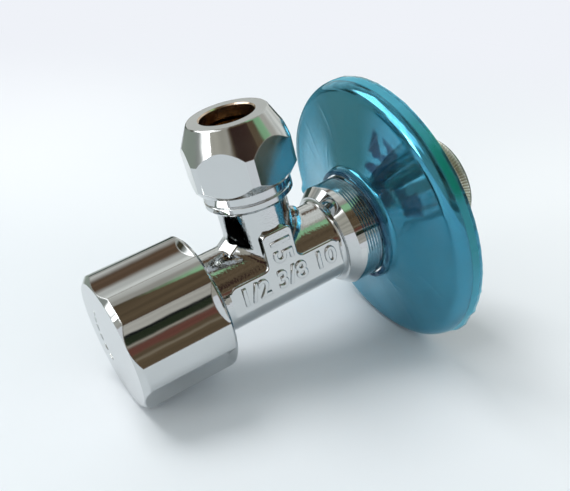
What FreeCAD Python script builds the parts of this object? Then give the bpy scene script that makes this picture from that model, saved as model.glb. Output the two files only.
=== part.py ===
"""Angle stop valve: wall inlet, turning knob, compression outlet for a 10 mm tube.

All sizes are in millimetres. The origin is on the inlet axis where it meets the wall.
The inlet runs into the wall along +Y, the knob faces the user along -Y, and the
outlet points up along +Z. A place along the inlet axis is given as its distance in
front of the wall, called "out" below, so its Y is minus that distance.
"""
import FreeCAD, Part
import math
import os

V = FreeCAD.Vector

# Inlet
inlet_major_r = 10.4775      # G 1/2 male thread, outside
inlet_length = 14.0          # behind the wall
inlet_chamfer = 1.1
inlet_thread_start = 2.0     # the thread begins this far in front of the wall
relief_width = 1.2
relief_depth = 1.1
inlet_bore_r = 6.2

# Collar and barrel
collar_step = 2.45           # the collar stands this far outside the barrel
collar_out = 14.2
collar_chamfer_length = 1.8
collar_chamfer_drop = 1.45
barrel_fillet = 0.9
barrel_r = 7.9
barrel_reach = 18.2          # from the outlet axis to the barrel's open end
barrel_end_chamfer = 0.5
barrel_wall = 1.6

# Seat
outlet_out = 28.8            # the outlet axis, in front of the wall
seat_back = 5.4              # the seat lies this far behind the outlet axis
seat_hole_r = 3.9
seat_lip_width = 0.9
seat_lip_height = 0.8
seat_web = 3.2

# Outlet neck
neck_r = 6.7
neck_fillet = 2.2
neck_height = 15.0
neck_flare = 0.7
outlet_major_r = 8.33        # G 3/8 male thread, outside
shoulder_length = 3.6        # plain rings below the thread
ring_groove_depth = 0.35
ring_groove_half = 0.25
ring_groove_up = 1.9         # above the neck's top
outlet_thread_length = 7.4
outlet_thread_chamfer = 0.6
tube_hole_r = 5.1            # holds a 10 mm tube
tube_socket_depth = 11.4
outlet_passage_r = 4.2
olive_cone_depth = 1.5
olive_cone_flare = 1.25

# Forged pads on both sides of the body
pad_depth = 0.4              # the flat lies this far inside the barrel's side
pad_top = 3.4
pad_bottom = 2.6
pad_collar_gap = 0.9         # from the collar's chamfer to the pad
pad_knob_end = 12.0          # in front of the outlet axis
pad_bar_half = 3.15
pad_bar_top = 10.2
pad_end_round = 1.7
pad_bar_round = 1.1
pad_inner_round = 1.2
pad_edge = 0.35
lug_r = 1.5                  # small casting lug at the wall side of the neck
lug_from_neck = 0.7
lug_above_barrel = 0.3
gusset_rise = 1.5            # the roofed web at the knob side of the neck, up from the barrel
gusset_reach = 2.3           # and out from the neck
gusset_width = 6.0
gusset_fall = 1.15           # from its ridge to its sides
gusset_root = 1.0            # how deep its ends lie in the neck and the barrel
gusset_edge = 0.4

# Compression nut and olive
nut_flats = 18.7
nut_corner_r = 10.38
nut_gap = 0.2
nut_height = 12.7
nut_top_r = 7.6
nut_top_cone = 5.8
nut_top_edge = 0.2           # the cone's rim is turned off by this much
nut_bottom_r = 8.95
nut_bottom_cone = 1.9
nut_thread_clearance = 0.12
nut_thread_depth = 8.2
nut_cavity_gap = 0.3         # round the olive and above its upper cone
nut_lip_bevel = 0.25
nut_turn = -73.5             # the direction of one corner, in degrees from +X
olive_seat_gap = 0.3
olive_bore_clearance = 0.05
olive_wall = 1.1
olive_band = 1.6
olive_tip = 0.25
olive_slope = 1.05

# Bonnet
gasket_thickness = 0.45
gasket_inset = 0.25
bonnet_thread_clearance = 0.05
bonnet_thread_length = 10.5
mouth_bore_gain = 0.25       # the barrel's threaded mouth is this much wider than the chamber
bonnet_flange_step = 0.25    # the flange is this much smaller than the barrel
bonnet_flat_depth = 0.65
bonnet_flange_length = 2.5
bonnet_nose_length = 2.0
bonnet_nose_r = 5.5
guide_flats = 9.3
guide_clearance = 0.15

# Spindle
spindle_r = 4.0
spindle_clearance = 0.05
spindle_collar_r = 4.45
spindle_collar_length = 0.95
thrust_ring_thickness = 0.45
face_gap = 0.05
drive_thread_r = 2.9
drive_thread_length = 7.3
oring_cord = 0.9
oring_groove_width = 1.15
oring_first = 1.6            # from the bonnet's inner shoulder to the first groove's middle
oring_pitch = 3.0
clip_thickness = 0.6
clip_r = 5.2
clip_groove_r = 3.4
clip_gap = 0.15
clip_opening = 70.0
spline_teeth = 20
spline_root_r = 3.5
spline_tip_r = 3.92
spline_length = 6.2
spline_chamfer = 0.4

# Plunger, closed
plunger_head_gap = 1.1       # from the plunger's head to the chamber wall
plunger_head_length = 3.4
plunger_shank_length = 10.2
drive_clearance = 0.1
drive_bore_margin = 0.5
washer_gap = 1.3
washer_thickness = 2.6
washer_lift = 0.05
washer_screw_r = 1.25
washer_screw_head_r = 2.4
washer_screw_head = 1.5
washer_screw_length = 3.6
lift = 3.0                   # the plunger's travel

# Knob
knob_lobes = 6
knob_lobe_half = 12.0        # half of a lobe, in degrees
knob_turn = 51.0             # the direction of one lobe, in degrees from +X towards +Z
knob_r = 13.2
knob_flat_r = 12.22
knob_length = 18.7
knob_front_wall = 2.2
knob_spline_gap = 1.0        # between the spindle's end and the knob's wall
knob_bore_r = 10.9
knob_front_chamfer = 1.15
knob_back_chamfer = 0.5
knob_rim_step = 0.1          # the round rim at the back lies this far inside the lobes
knob_rim_land = 0.7
knob_rim_run = 1.15          # the flats run out into the rim over this length
knob_lobe_round = 0.5
knob_edge_round = 0.22
core_clearance = 0.05
core_plate = 2.0
core_hub_r = 5.5
core_ribs = 6
core_rib_width = 1.2
core_slot_width = 0.9
core_slot_depth = 4.0
core_start_gap = 0.5         # between the clip and the hub
grip_ring_cord = 0.9
grip_ring_back = 1.4
grip_ring_opening = 25.0

# Escutcheon and its film
plate_r = 27.7
plate_wall = 0.7
plate_skirt = 1.7
plate_roll_r = 2.8
plate_slope = 11.0           # of the face, in degrees
plate_hub_clearance = 0.3    # from the hub's hole to the collar
plate_hub_round = 1.3
plate_hub_lip = 0.35
plate_face_sag = 0.35
film_gap = 0.05
film_thickness = 0.25
film_skirt = 1.3             # how far the film runs down the skirt
film_hub_gap = 0.5

# Worked out from the sizes above
collar_r = barrel_r + collar_step
chamber_r = barrel_r - barrel_wall
pad_face = barrel_r - pad_depth
lug_out = neck_r + lug_from_neck
lug_height = barrel_r + lug_above_barrel
bonnet_flange_r = barrel_r - bonnet_flange_step
bonnet_flats = 2 * (bonnet_flange_r - bonnet_flat_depth)
plunger_head_r = chamber_r - plunger_head_gap
washer_r = chamber_r - washer_gap
plate_hub_r = collar_r + plate_hub_clearance
seat_out = outlet_out - seat_back
chamber_floor_out = seat_out - seat_lip_height
barrel_end_out = outlet_out + barrel_reach
mouth_r = chamber_r + mouth_bore_gain
bonnet_thread_r = mouth_r - bonnet_thread_clearance
bonnet_inner_out = barrel_end_out - bonnet_thread_length
flange_back_out = barrel_end_out + gasket_thickness
flange_front_out = flange_back_out + bonnet_flange_length
nose_out = flange_front_out + bonnet_nose_length
clip_out = nose_out + clip_gap
spline_out = clip_out + clip_thickness + clip_gap
spindle_end_out = spline_out + spline_length
knob_inner_out = spindle_end_out + knob_spline_gap
knob_front_out = knob_inner_out + knob_front_wall
knob_back_out = knob_front_out - knob_length
washer_face_out = seat_out + washer_lift
head_back_out = washer_face_out + washer_thickness
head_front_out = head_back_out + plunger_head_length
plunger_front_out = head_front_out + plunger_shank_length
spindle_collar_out = plunger_front_out + lift + 0.3
shoulder_out = spindle_collar_out + spindle_collar_length + thrust_ring_thickness + 2 * face_gap
drive_tip_out = spindle_collar_out - drive_thread_length
neck_top = neck_height
shoulder_top = neck_top + shoulder_length
thread_top = shoulder_top + outlet_thread_length
nut_bottom = shoulder_top + nut_gap
nut_top = nut_bottom + nut_height
cone_bottom = thread_top - olive_cone_depth
socket_bottom = cone_bottom - tube_socket_depth
olive_bore_r = tube_hole_r + olive_bore_clearance
olive_r = olive_bore_r + olive_wall
olive_tip_r = olive_bore_r + olive_tip
olive_rise = (olive_r - olive_tip_r) * olive_slope
olive_touch = cone_bottom + (olive_tip_r - tube_hole_r) * olive_cone_depth / olive_cone_flare
olive_bottom = olive_touch + olive_seat_gap
olive_shoulder = olive_bottom + olive_rise + olive_band


def point(radius, out):
    """A point of a turned outline: its radius and its distance in front of the wall."""
    return V(radius, -out, 0)


def face_of(points):
    """A flat face with straight sides."""
    wire = Part.makePolygon(list(points) + [points[0]])
    return Part.Face(wire)


def turned(pairs):
    """A solid turned about the inlet axis, from (radius, out) pairs."""
    outline = face_of([point(radius, out) for radius, out in pairs])
    return outline.revolve(V(0, 0, 0), V(0, 1, 0), 360)


def turned_up(pairs):
    """A solid turned about the outlet axis, from (radius, height) pairs."""
    outline = face_of([V(radius, 0, height) for radius, height in pairs])
    solid = outline.revolve(V(0, 0, 0), V(0, 0, 1), 360)
    solid.translate(V(0, -outlet_out, 0))
    return solid


def tube(outer, inner, back, front):
    """A plain ring about the inlet axis, between two distances in front of the wall."""
    return turned([(inner, back), (outer, back), (outer, front), (inner, front)])


def rod(radius, back, front):
    """A plain round bar on the inlet axis."""
    return turned([(0, back), (radius, back), (radius, front), (0, front)])


def hexagon(flats, back, front):
    """A six-sided bar on the inlet axis."""
    corner = flats / 2 / math.cos(math.pi / 6)
    points = []
    for side in range(6):
        angle = math.radians(60 * side)
        points.append(V(corner * math.cos(angle), -back, corner * math.sin(angle)))
    return face_of(points).extrude(V(0, back - front, 0))


def ring_of_cord(middle_r, cord, out):
    """A round-section ring about the inlet axis."""
    circle = Part.Circle(point(middle_r, out), V(0, 0, 1), cord / 2)
    face = Part.Face(Part.Wire([circle.toShape()]))
    return face.revolve(V(0, 0, 0), V(0, 1, 0), 360)


def wedge(radius, back, front, opening, middle):
    """A sector about the inlet axis, used to cut the gap of a split ring."""
    half = math.radians(opening / 2)
    middle_angle = math.radians(middle)
    points = [V(0, -back, 0)]
    for angle in (middle_angle - half, middle_angle + half):
        points.append(V(radius * math.cos(angle), -back, radius * math.sin(angle)))
    return face_of(points).extrude(V(0, back - front, 0))


def body_outside():
    """The inlet, collar and barrel as one turned form, with the neck standing on it."""
    relief_back = inlet_thread_start
    relief_front = relief_back + relief_width
    barrel_start = collar_out + collar_chamfer_length
    barrel = turned([
        (0, -inlet_length),
        (inlet_major_r - inlet_chamfer, -inlet_length),
        (inlet_major_r, inlet_chamfer - inlet_length),
        (inlet_major_r, relief_back),
        (inlet_major_r - relief_depth, relief_back + relief_width / 4),
        (inlet_major_r - relief_depth, relief_front - relief_width / 4),
        (collar_r, relief_front),
        (collar_r, collar_out),
        (collar_r - collar_chamfer_drop, barrel_start),
        (barrel_r, barrel_start),
        (barrel_r, barrel_end_out - barrel_end_chamfer),
        (barrel_r - barrel_end_chamfer, barrel_end_out),
        (0, barrel_end_out),
    ])
    neck = turned_up([(0, 0), (neck_r, 0), (neck_r, neck_top), (0, neck_top)])
    body = barrel.fuse(neck)
    return round_neck_foot(round_collar_foot(body))


def edges_near(shape, test):
    """The edges whose middle point passes a test."""
    found = []
    for edge in shape.Edges:
        middle = edge.valueAt((edge.FirstParameter + edge.LastParameter) / 2)
        if test(edge, middle):
            found.append(edge)
    return found


def round_collar_foot(body):
    """Round the corner where the barrel leaves the collar."""
    foot_out = collar_out + collar_chamfer_length

    def at_foot(edge, middle):
        radius = math.hypot(middle.x, middle.z)
        return abs(middle.y + foot_out) < 0.01 and abs(radius - barrel_r) < 0.01

    return body.makeFillet(barrel_fillet, edges_near(body, at_foot))


def round_neck_foot(body):
    """Round the saddle line where the neck stands on the barrel."""

    def on_both(edge, middle):
        on_barrel = abs(math.hypot(middle.x, middle.z) - barrel_r) < 0.02
        on_neck = abs(math.hypot(middle.x, middle.y + outlet_out) - neck_r) < 0.02
        return on_barrel and on_neck

    return body.makeFillet(neck_fillet, edges_near(body, on_both))


def outlet_head():
    """The rings below the outlet thread and the thread's own cylinder."""
    groove = neck_top + ring_groove_up
    return turned_up([
        (0, neck_top - 0.5),
        (neck_r, neck_top - 0.5),
        (neck_r, neck_top - 0.2),
        (outlet_major_r - neck_flare, neck_top),
        (outlet_major_r, neck_top + neck_flare),
        (outlet_major_r, groove - ring_groove_half),
        (outlet_major_r - ring_groove_depth, groove),
        (outlet_major_r, groove + ring_groove_half),
        (outlet_major_r, thread_top - outlet_thread_chamfer),
        (outlet_major_r - outlet_thread_chamfer, thread_top),
        (0, thread_top),
    ])


def pad_outline():
    """The upside-down T of the forged pad, as a face in the middle plane."""
    collar_end = collar_out + collar_chamfer_length + pad_collar_gap
    knob_end = outlet_out + pad_knob_end
    bar = Part.makeBox(1, 2 * pad_bar_half, pad_bar_top + pad_bottom)
    bar.translate(V(0, -outlet_out - pad_bar_half, -pad_bottom))
    foot = Part.makeBox(1, knob_end - collar_end, pad_top + pad_bottom)
    foot.translate(V(0, -knob_end, -pad_bottom))
    return bar.fuse(foot).removeSplitter(), collar_end


def forged_pad(side):
    """One flat raised pad. It grows out of the barrel and the neck, with rounded corners."""
    plate, collar_end = pad_outline()

    def along_x(edge, middle):
        ends = [vertex.Point for vertex in edge.Vertexes]
        return abs(ends[0].x - ends[-1].x) > 0.9

    def near(middle, out, height):
        return abs(middle.y + out) < 0.01 and abs(middle.z - height) < 0.01

    corners = edges_near(plate, along_x)
    groups = {pad_end_round: [], pad_bar_round: [], pad_inner_round: []}
    for edge in corners:
        middle = edge.valueAt((edge.FirstParameter + edge.LastParameter) / 2)
        for bar_side in (-pad_bar_half, pad_bar_half):
            if near(middle, outlet_out + bar_side, pad_bar_top):
                groups[pad_bar_round].append(edge)
            if near(middle, outlet_out + bar_side, pad_top):
                groups[pad_inner_round].append(edge)
        if near(middle, collar_end, pad_top) or near(middle, outlet_out + pad_knob_end, pad_top):
            groups[pad_end_round].append(edge)
    for radius, edges in groups.items():
        places = [edge.CenterOfMass for edge in edges]
        again = [edge for edge in plate.Edges for place in places
                 if (edge.CenterOfMass - place).Length < 0.05]
        plate = plate.makeFillet(radius, again)
    outline = max((face for face in plate.Faces if abs(face.CenterOfMass.x - 1) < 0.001),
                  key=lambda face: face.Area)
    outline.translate(V(-1, 0, 0))
    pad = outline.extrude(V(pad_face, 0, 0))

    def front_rim(edge, middle):
        return all(abs(vertex.Point.x - pad_face) < 0.001 for vertex in edge.Vertexes)

    pad = pad.makeFillet(pad_edge, edges_near(pad, front_rim))
    if side < 0:
        pad = pad.mirror(V(0, 0, 0), V(1, 0, 0))
    return pad


def pad_flats():
    """What the dies press flat: the barrel's sides, outside both pad faces."""
    outline = pad_outline()[0]
    face = max(outline.Faces, key=lambda each: each.Area).copy()
    face.translate(V(pad_face - face.CenterOfMass.x, 0, 0))
    flat = face.extrude(V(2 * pad_depth, 0, 0))
    return [flat, flat.mirror(V(0, 0, 0), V(1, 0, 0))]


def casting_gusset():
    """A roofed web that stiffens the neck's knob side. Its ridge runs down onto the barrel."""
    slope = gusset_rise / gusset_reach
    half = gusset_width / 2
    start_out = outlet_out + neck_r - gusset_root
    run = gusset_reach + 2 * gusset_root
    ridge = barrel_r + gusset_rise + gusset_root * slope
    eaves = ridge - gusset_fall
    foot = barrel_r - 2 * gusset_root
    section = face_of([
        V(half, -start_out, foot),
        V(half, -start_out, eaves),
        V(0, -start_out, ridge),
        V(-half, -start_out, eaves),
        V(-half, -start_out, foot),
    ])
    web = section.extrude(V(0, -run, -run * slope))

    def ridge_and_eaves(edge, middle):
        return abs(middle.y + start_out + run / 2) < 0.01 and middle.z > eaves - run * slope / 2 - 0.01

    return web.makeFillet(gusset_edge, edges_near(web, ridge_and_eaves))


def casting_lug():
    """A small round lug at the wall side of the neck."""
    lug = Part.makeSphere(lug_r)
    lug.translate(V(0, lug_out - outlet_out, lug_height))
    return lug


def water_way():
    """Everything hollow inside the body: inlet, seat, chamber, mouth and outlet."""
    lip_r = seat_hole_r + seat_lip_width
    along = turned([
        (0, -inlet_length),
        (inlet_bore_r, -inlet_length),
        (inlet_bore_r, chamber_floor_out - seat_web),
        (seat_hole_r, chamber_floor_out - seat_web + (inlet_bore_r - seat_hole_r) / 2),
        (seat_hole_r, seat_out),
        (lip_r, seat_out),
        (lip_r + 0.2, chamber_floor_out),
        (chamber_r, chamber_floor_out),
        (chamber_r, bonnet_inner_out),
        (mouth_r, bonnet_inner_out),
        (mouth_r, barrel_end_out),
        (0, barrel_end_out),
    ])
    up = turned_up([
        (0, 0),
        (outlet_passage_r, 0),
        (outlet_passage_r, socket_bottom),
        (tube_hole_r, socket_bottom),
        (tube_hole_r, cone_bottom),
        (tube_hole_r + olive_cone_flare, thread_top),
        (0, thread_top),
    ])
    seat_guard = rod(lip_r + 0.2, -inlet_length, seat_out)
    return along.fuse(up.cut(seat_guard))


def valve_body():
    """The forged and turned brass body."""
    body = body_outside().cut(pad_flats()).fuse(outlet_head())
    body = body.fuse([forged_pad(1), forged_pad(-1), casting_lug(), casting_gusset()])
    return body.cut(water_way()).removeSplitter()


def bonnet():
    """The screwed bonnet that guides the plunger and carries the spindle."""
    shell = turned([
        (0, bonnet_inner_out + 0.05),
        (bonnet_thread_r - 0.4, bonnet_inner_out + 0.05),
        (bonnet_thread_r, bonnet_inner_out + 0.45),
        (bonnet_thread_r, flange_back_out),
        (bonnet_flange_r, flange_back_out),
        (bonnet_flange_r, flange_front_out - 0.4),
        (bonnet_flange_r - 0.4, flange_front_out),
        (bonnet_nose_r, flange_front_out),
        (bonnet_nose_r, nose_out - 0.3),
        (bonnet_nose_r - 0.3, nose_out),
        (0, nose_out),
    ])
    wrench = hexagon(bonnet_flats, flange_back_out, flange_front_out)
    keep = wrench.fuse([
        rod(bonnet_thread_r, bonnet_inner_out, flange_back_out),
        rod(bonnet_nose_r, flange_front_out, nose_out),
    ])
    guide = hexagon(guide_flats, bonnet_inner_out, shoulder_out)
    bore = rod(spindle_r + spindle_clearance, shoulder_out - 0.1, nose_out)
    return shell.common(keep).cut(guide.fuse(bore)).removeSplitter()


def bonnet_gasket():
    """The flat ring between the bonnet's flange and the barrel's end."""
    return tube(barrel_r - barrel_end_chamfer - gasket_inset, bonnet_thread_r + face_gap,
                barrel_end_out, flange_back_out)


def thrust_ring():
    """The slip ring between the spindle's collar and the bonnet's shoulder."""
    front = shoulder_out - face_gap
    return tube(spindle_collar_r, spindle_r + spindle_clearance, front - thrust_ring_thickness, front)


def oring_outs():
    """The middles of the two spindle seals."""
    first = shoulder_out + oring_first
    return [first, first + oring_pitch]


def splined_end():
    """The toothed end that drives the knob."""
    points = []
    step = 360.0 / spline_teeth
    for tooth in range(spline_teeth):
        for radius, share in ((spline_root_r, 0.0), (spline_root_r, 0.3), (spline_tip_r, 0.5),
                              (spline_tip_r, 0.8)):
            angle = math.radians(step * (tooth + share))
            points.append(V(radius * math.cos(angle), -spline_out, radius * math.sin(angle)))
    teeth = face_of(points).extrude(V(0, -spline_length, 0))
    envelope = turned([
        (0, spline_out),
        (spline_tip_r, spline_out),
        (spline_tip_r, spindle_end_out - spline_chamfer),
        (spline_tip_r - spline_chamfer, spindle_end_out),
        (0, spindle_end_out),
    ])
    return teeth.common(envelope)


def spindle():
    """The spindle: drive thread, collar, two seal grooves, clip groove and splines."""
    collar_front = spindle_collar_out + spindle_collar_length
    shaft = turned([
        (0, drive_tip_out),
        (drive_thread_r - 0.5, drive_tip_out),
        (drive_thread_r, drive_tip_out + 0.5),
        (drive_thread_r, spindle_collar_out),
        (spindle_collar_r, spindle_collar_out),
        (spindle_collar_r, collar_front),
        (spindle_r, collar_front),
        (spindle_r, spline_out),
        (0, spline_out),
    ])
    groove_root = spindle_r - oring_cord
    cuts = [tube(spindle_r + 1, groove_root, middle - oring_groove_width / 2,
                 middle + oring_groove_width / 2) for middle in oring_outs()]
    cuts.append(tube(spindle_r + 1, clip_groove_r, clip_out, clip_out + clip_thickness))
    return shaft.cut(cuts[0].fuse(cuts[1:])).fuse(splined_end()).removeSplitter()


def spindle_seal(out):
    """One rubber ring in its groove."""
    return ring_of_cord(spindle_r - oring_cord / 2 - 0.02, oring_cord - 0.06, out)


def retaining_clip():
    """The split ring that holds the spindle in the bonnet."""
    inset = face_gap / 2
    back = clip_out + inset
    front = clip_out + clip_thickness - inset
    ring = tube(clip_r, clip_groove_r + inset, back, front)
    return ring.cut(wedge(2 * clip_r, back, front, clip_opening, -90))


def plunger():
    """The six-sided plunger that the spindle's thread draws in and out."""
    head = turned([
        (0, head_back_out),
        (plunger_head_r, head_back_out),
        (plunger_head_r, head_front_out - 0.5),
        (plunger_head_r - 0.5, head_front_out),
        (0, head_front_out),
    ])
    shank_flats = guide_flats - 2 * guide_clearance
    shank = hexagon(shank_flats, head_front_out, plunger_front_out)
    bore_end = drive_tip_out - lift - drive_bore_margin
    bore = rod(drive_thread_r + drive_clearance, bore_end, plunger_front_out)
    tapped = rod(washer_screw_r + face_gap, head_back_out, washer_face_out + washer_screw_length + 0.4)
    return head.fuse(shank).cut(bore).cut(tapped).removeSplitter()


def seat_washer():
    """The rubber disc that closes on the seat."""
    return turned([
        (washer_screw_r + face_gap, washer_face_out),
        (washer_r - 0.3, washer_face_out),
        (washer_r, washer_face_out + 0.3),
        (washer_r, head_back_out),
        (washer_screw_r + face_gap, head_back_out),
    ])


def washer_screw():
    """The screw that holds the disc on the plunger."""
    head_back = washer_face_out - washer_screw_head
    screw = turned([
        (0, head_back),
        (washer_screw_head_r - 0.5, head_back),
        (washer_screw_head_r, head_back + 0.5),
        (washer_screw_head_r, washer_face_out),
        (washer_screw_r, washer_face_out),
        (washer_screw_r, washer_face_out + washer_screw_length),
        (0, washer_face_out + washer_screw_length),
    ])
    slot = Part.makeBox(2 * washer_screw_head_r, 0.6, 0.6)
    slot.translate(V(-washer_screw_head_r, -head_back - 0.6, -0.3))
    return screw.cut(slot)


def polar(radius, degrees, out):
    """A point at a radius and a direction in the plane across the inlet axis."""
    angle = math.radians(degrees)
    return V(radius * math.cos(angle), -out, radius * math.sin(angle))


def lobed_bar():
    """The knob's outline drawn out along the axis: round lobes with hollowed flats between."""
    step = 360.0 / knob_lobes
    edges = []
    for lobe in range(knob_lobes):
        middle = knob_turn + lobe * step
        start = polar(knob_r, middle - knob_lobe_half, knob_back_out)
        crest = polar(knob_r, middle, knob_back_out)
        end = polar(knob_r, middle + knob_lobe_half, knob_back_out)
        hollow = polar(knob_flat_r, middle + step / 2, knob_back_out)
        following = polar(knob_r, middle + step - knob_lobe_half, knob_back_out)
        edges.append(Part.Arc(start, crest, end).toShape())
        edges.append(Part.Arc(end, hollow, following).toShape())
    bar = Part.Face(Part.Wire(edges)).extrude(V(0, -knob_length, 0))

    def lengthwise(edge, middle):
        return abs(middle.y + knob_back_out + knob_length / 2) < 0.01

    return bar.makeFillet(knob_lobe_round, edges_near(bar, lengthwise))


def knob_rim():
    """The round rim at the knob's back, with the cone that the flats run out into."""
    rim_r = knob_r - knob_rim_step
    land_out = knob_back_out + knob_rim_land
    return turned([
        (0, knob_back_out),
        (rim_r, knob_back_out),
        (rim_r, land_out),
        (knob_flat_r - knob_rim_step, land_out + knob_rim_run),
        (0, land_out + knob_rim_run),
    ])


def knob_shell():
    """The chromed knob: a lobed cup with bevelled ends."""
    envelope = turned([
        (0, knob_back_out),
        (knob_r - knob_back_chamfer, knob_back_out),
        (knob_r + 0.1, knob_back_out + knob_back_chamfer + 0.1),
        (knob_r + 0.1, knob_front_out - knob_front_chamfer - 0.1),
        (knob_r - knob_front_chamfer, knob_front_out),
        (0, knob_front_out),
    ])
    shell = lobed_bar().fuse(knob_rim()).common(envelope).removeSplitter()

    def at_front(edge, middle):
        return all(abs(vertex.Point.y + knob_front_out) < 0.001 for vertex in edge.Vertexes)

    shell = shell.makeFillet(knob_edge_round, edges_near(shell, at_front))
    cavity = turned([
        (0, knob_back_out),
        (knob_bore_r + 0.3, knob_back_out),
        (knob_bore_r, knob_back_out + 0.5),
        (knob_bore_r, knob_inner_out),
        (0, knob_inner_out),
    ])
    return shell.cut(cavity)


def knob_core():
    """The moulded core inside the knob: plate, splined hub with slits, and ribs."""
    plate_front = knob_inner_out - core_clearance
    plate_back = plate_front - core_plate
    hub_back = spline_out + core_start_gap
    outer = knob_bore_r - core_clearance
    core = rod(outer, plate_back, plate_front).fuse(rod(core_hub_r, hub_back, plate_back))
    for rib in range(core_ribs):
        bar = Part.makeBox(outer - core_hub_r + 0.5, plate_back - hub_back, core_rib_width)
        bar.translate(V(core_hub_r - 0.5, -plate_back, -core_rib_width / 2))
        bar.rotate(V(0, 0, 0), V(0, 1, 0), rib * 360.0 / core_ribs)
        core = core.fuse(bar.common(rod(outer, hub_back, plate_front)))
    socket = rod(spline_tip_r + core_clearance, hub_back - 1, spindle_end_out + 0.3)
    core = core.cut(socket)
    for slit in range(2):
        gap = Part.makeBox(2 * core_hub_r + 1, core_slot_depth, core_slot_width)
        gap.translate(V(-core_hub_r - 0.5, -hub_back - core_slot_depth, -core_slot_width / 2))
        gap.rotate(V(0, 0, 0), V(0, 1, 0), 30 + slit * 90)
        core = core.cut(gap)
    ring_out = hub_back + grip_ring_back
    groove = tube(core_hub_r + 1, core_hub_r - grip_ring_cord / 2,
                  ring_out - grip_ring_cord * 0.6, ring_out + grip_ring_cord * 0.6)
    return core.cut(groove).removeSplitter()


def grip_ring():
    """The spring wire ring that squeezes the slit hub onto the splines."""
    out = spline_out + core_start_gap + grip_ring_back
    ring = ring_of_cord(core_hub_r + 0.05, grip_ring_cord, out)
    gap = wedge(2 * core_hub_r, out - grip_ring_cord, out + grip_ring_cord, grip_ring_opening, -90)
    return ring.cut(gap)


def compression_nut():
    """The six-sided nut with its tall turned cone, lower bevel and stepped hole."""
    corner = nut_flats / 2 / math.cos(math.pi / 6)
    points = []
    for side in range(6):
        angle = math.radians(nut_turn + 60 * side)
        points.append(V(corner * math.cos(angle), corner * math.sin(angle) - outlet_out, nut_bottom))
    bar = face_of(points).extrude(V(0, 0, nut_height))
    envelope = turned_up([
        (0, nut_bottom),
        (nut_bottom_r, nut_bottom),
        (nut_corner_r, nut_bottom + nut_bottom_cone),
        (nut_corner_r, nut_top - nut_top_cone),
        (nut_top_r, nut_top - nut_top_edge),
        (nut_top_r - nut_top_edge, nut_top),
        (0, nut_top),
    ])
    thread_r = outlet_major_r + nut_thread_clearance
    thread_end = nut_bottom + nut_thread_depth
    cavity_r = olive_r + nut_cavity_gap
    cavity_end = olive_shoulder + nut_cavity_gap * (math.sqrt(2) - 1)
    bore_start = cavity_end + cavity_r - tube_hole_r
    hole = turned_up([
        (0, nut_bottom),
        (thread_r + 0.3, nut_bottom),
        (thread_r, nut_bottom + 0.3),
        (thread_r, thread_end),
        (cavity_r, thread_end),
        (cavity_r, cavity_end),
        (tube_hole_r, bore_start),
        (tube_hole_r, nut_top - nut_lip_bevel),
        (tube_hole_r + nut_lip_bevel, nut_top),
        (0, nut_top),
    ])
    return bar.common(envelope).cut(hole).removeSplitter()


def olive():
    """The brass ring with two cones that the nut squeezes onto the tube."""
    upper_end = olive_shoulder + olive_rise
    return turned_up([
        (olive_bore_r, olive_bottom),
        (olive_tip_r, olive_bottom),
        (olive_r, olive_bottom + olive_rise),
        (olive_r, olive_shoulder),
        (olive_tip_r, upper_end),
        (olive_bore_r, upper_end),
    ])


def plate_line():
    """The escutcheon's outer line, from the wall edge over the roll and the face to the hub."""
    slope = math.radians(plate_slope)
    roll_r = plate_r - plate_roll_r
    roll_end = (roll_r + plate_roll_r * math.sin(slope), plate_skirt + plate_roll_r * math.cos(slope))
    half = (math.pi / 2 - slope) / 2
    roll_mid = (roll_r + plate_roll_r * math.cos(half), plate_skirt + plate_roll_r * math.sin(half))
    hub_outer = plate_hub_r + plate_wall
    hub_start_r = hub_outer + plate_hub_round * (1 - math.sin(slope))
    rise = (roll_end[0] - hub_start_r) * math.tan(slope)
    hub_start = (hub_start_r, roll_end[1] + rise)
    face_mid = ((roll_end[0] + hub_start[0]) / 2, (roll_end[1] + hub_start[1]) / 2 - plate_face_sag)
    hub_end_out = hub_start[1] + plate_hub_round * math.cos(slope)
    centre = (hub_outer + plate_hub_round, hub_end_out)
    hub_mid = (centre[0] - plate_hub_round * math.cos(half), centre[1] - plate_hub_round * math.sin(half))
    hub_end = (hub_outer, hub_end_out)
    return roll_end, roll_mid, face_mid, hub_start, hub_mid, hub_end


def plate_wire(wall_end, lip):
    """The outer line as a wire that starts at wall_end and ends at the hub's lip."""
    roll_end, roll_mid, face_mid, hub_start, hub_mid, hub_end = plate_line()
    start = point(plate_r, wall_end)
    skirt_end = point(plate_r, plate_skirt)
    edges = [
        Part.LineSegment(start, skirt_end).toShape(),
        Part.Arc(skirt_end, point(*roll_mid), point(*roll_end)).toShape(),
        Part.Arc(point(*roll_end), point(*face_mid), point(*hub_start)).toShape(),
        Part.Arc(point(*hub_start), point(*hub_mid), point(*hub_end)).toShape(),
    ]
    if lip > 0:
        edges.append(Part.LineSegment(point(*hub_end), point(hub_end[0], hub_end[1] + lip)).toShape())
    return Part.Wire(edges)


def sheet_between(wire, near, far):
    """A turned sheet between two offsets of an open line."""
    start = wire.makeOffset2D(near, 0, False, True) if near else wire
    band = start.makeOffset2D(far - near, 0, True, True)
    return band.revolve(V(0, 0, 0), V(0, 1, 0), 360)


def escutcheon():
    """The pressed cover plate."""
    return sheet_between(plate_wire(0, plate_hub_lip), 0, plate_wall)


def protective_film():
    """The plastic film that still covers the plate's face and skirt."""
    return sheet_between(plate_wire(film_skirt - film_gap, 0), -film_gap, -film_gap - film_thickness)


def check_fits():
    """Print the sizes that a change could upset."""
    open_gap = spindle_collar_out - (plunger_front_out + lift)
    print("plunger to collar when open", round(open_gap, 3))
    print("knob back to collar", round(knob_back_out - collar_out, 2))
    print("overall", round(knob_front_out + inlet_length, 2), "long,", round(nut_top, 2), "up")


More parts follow.
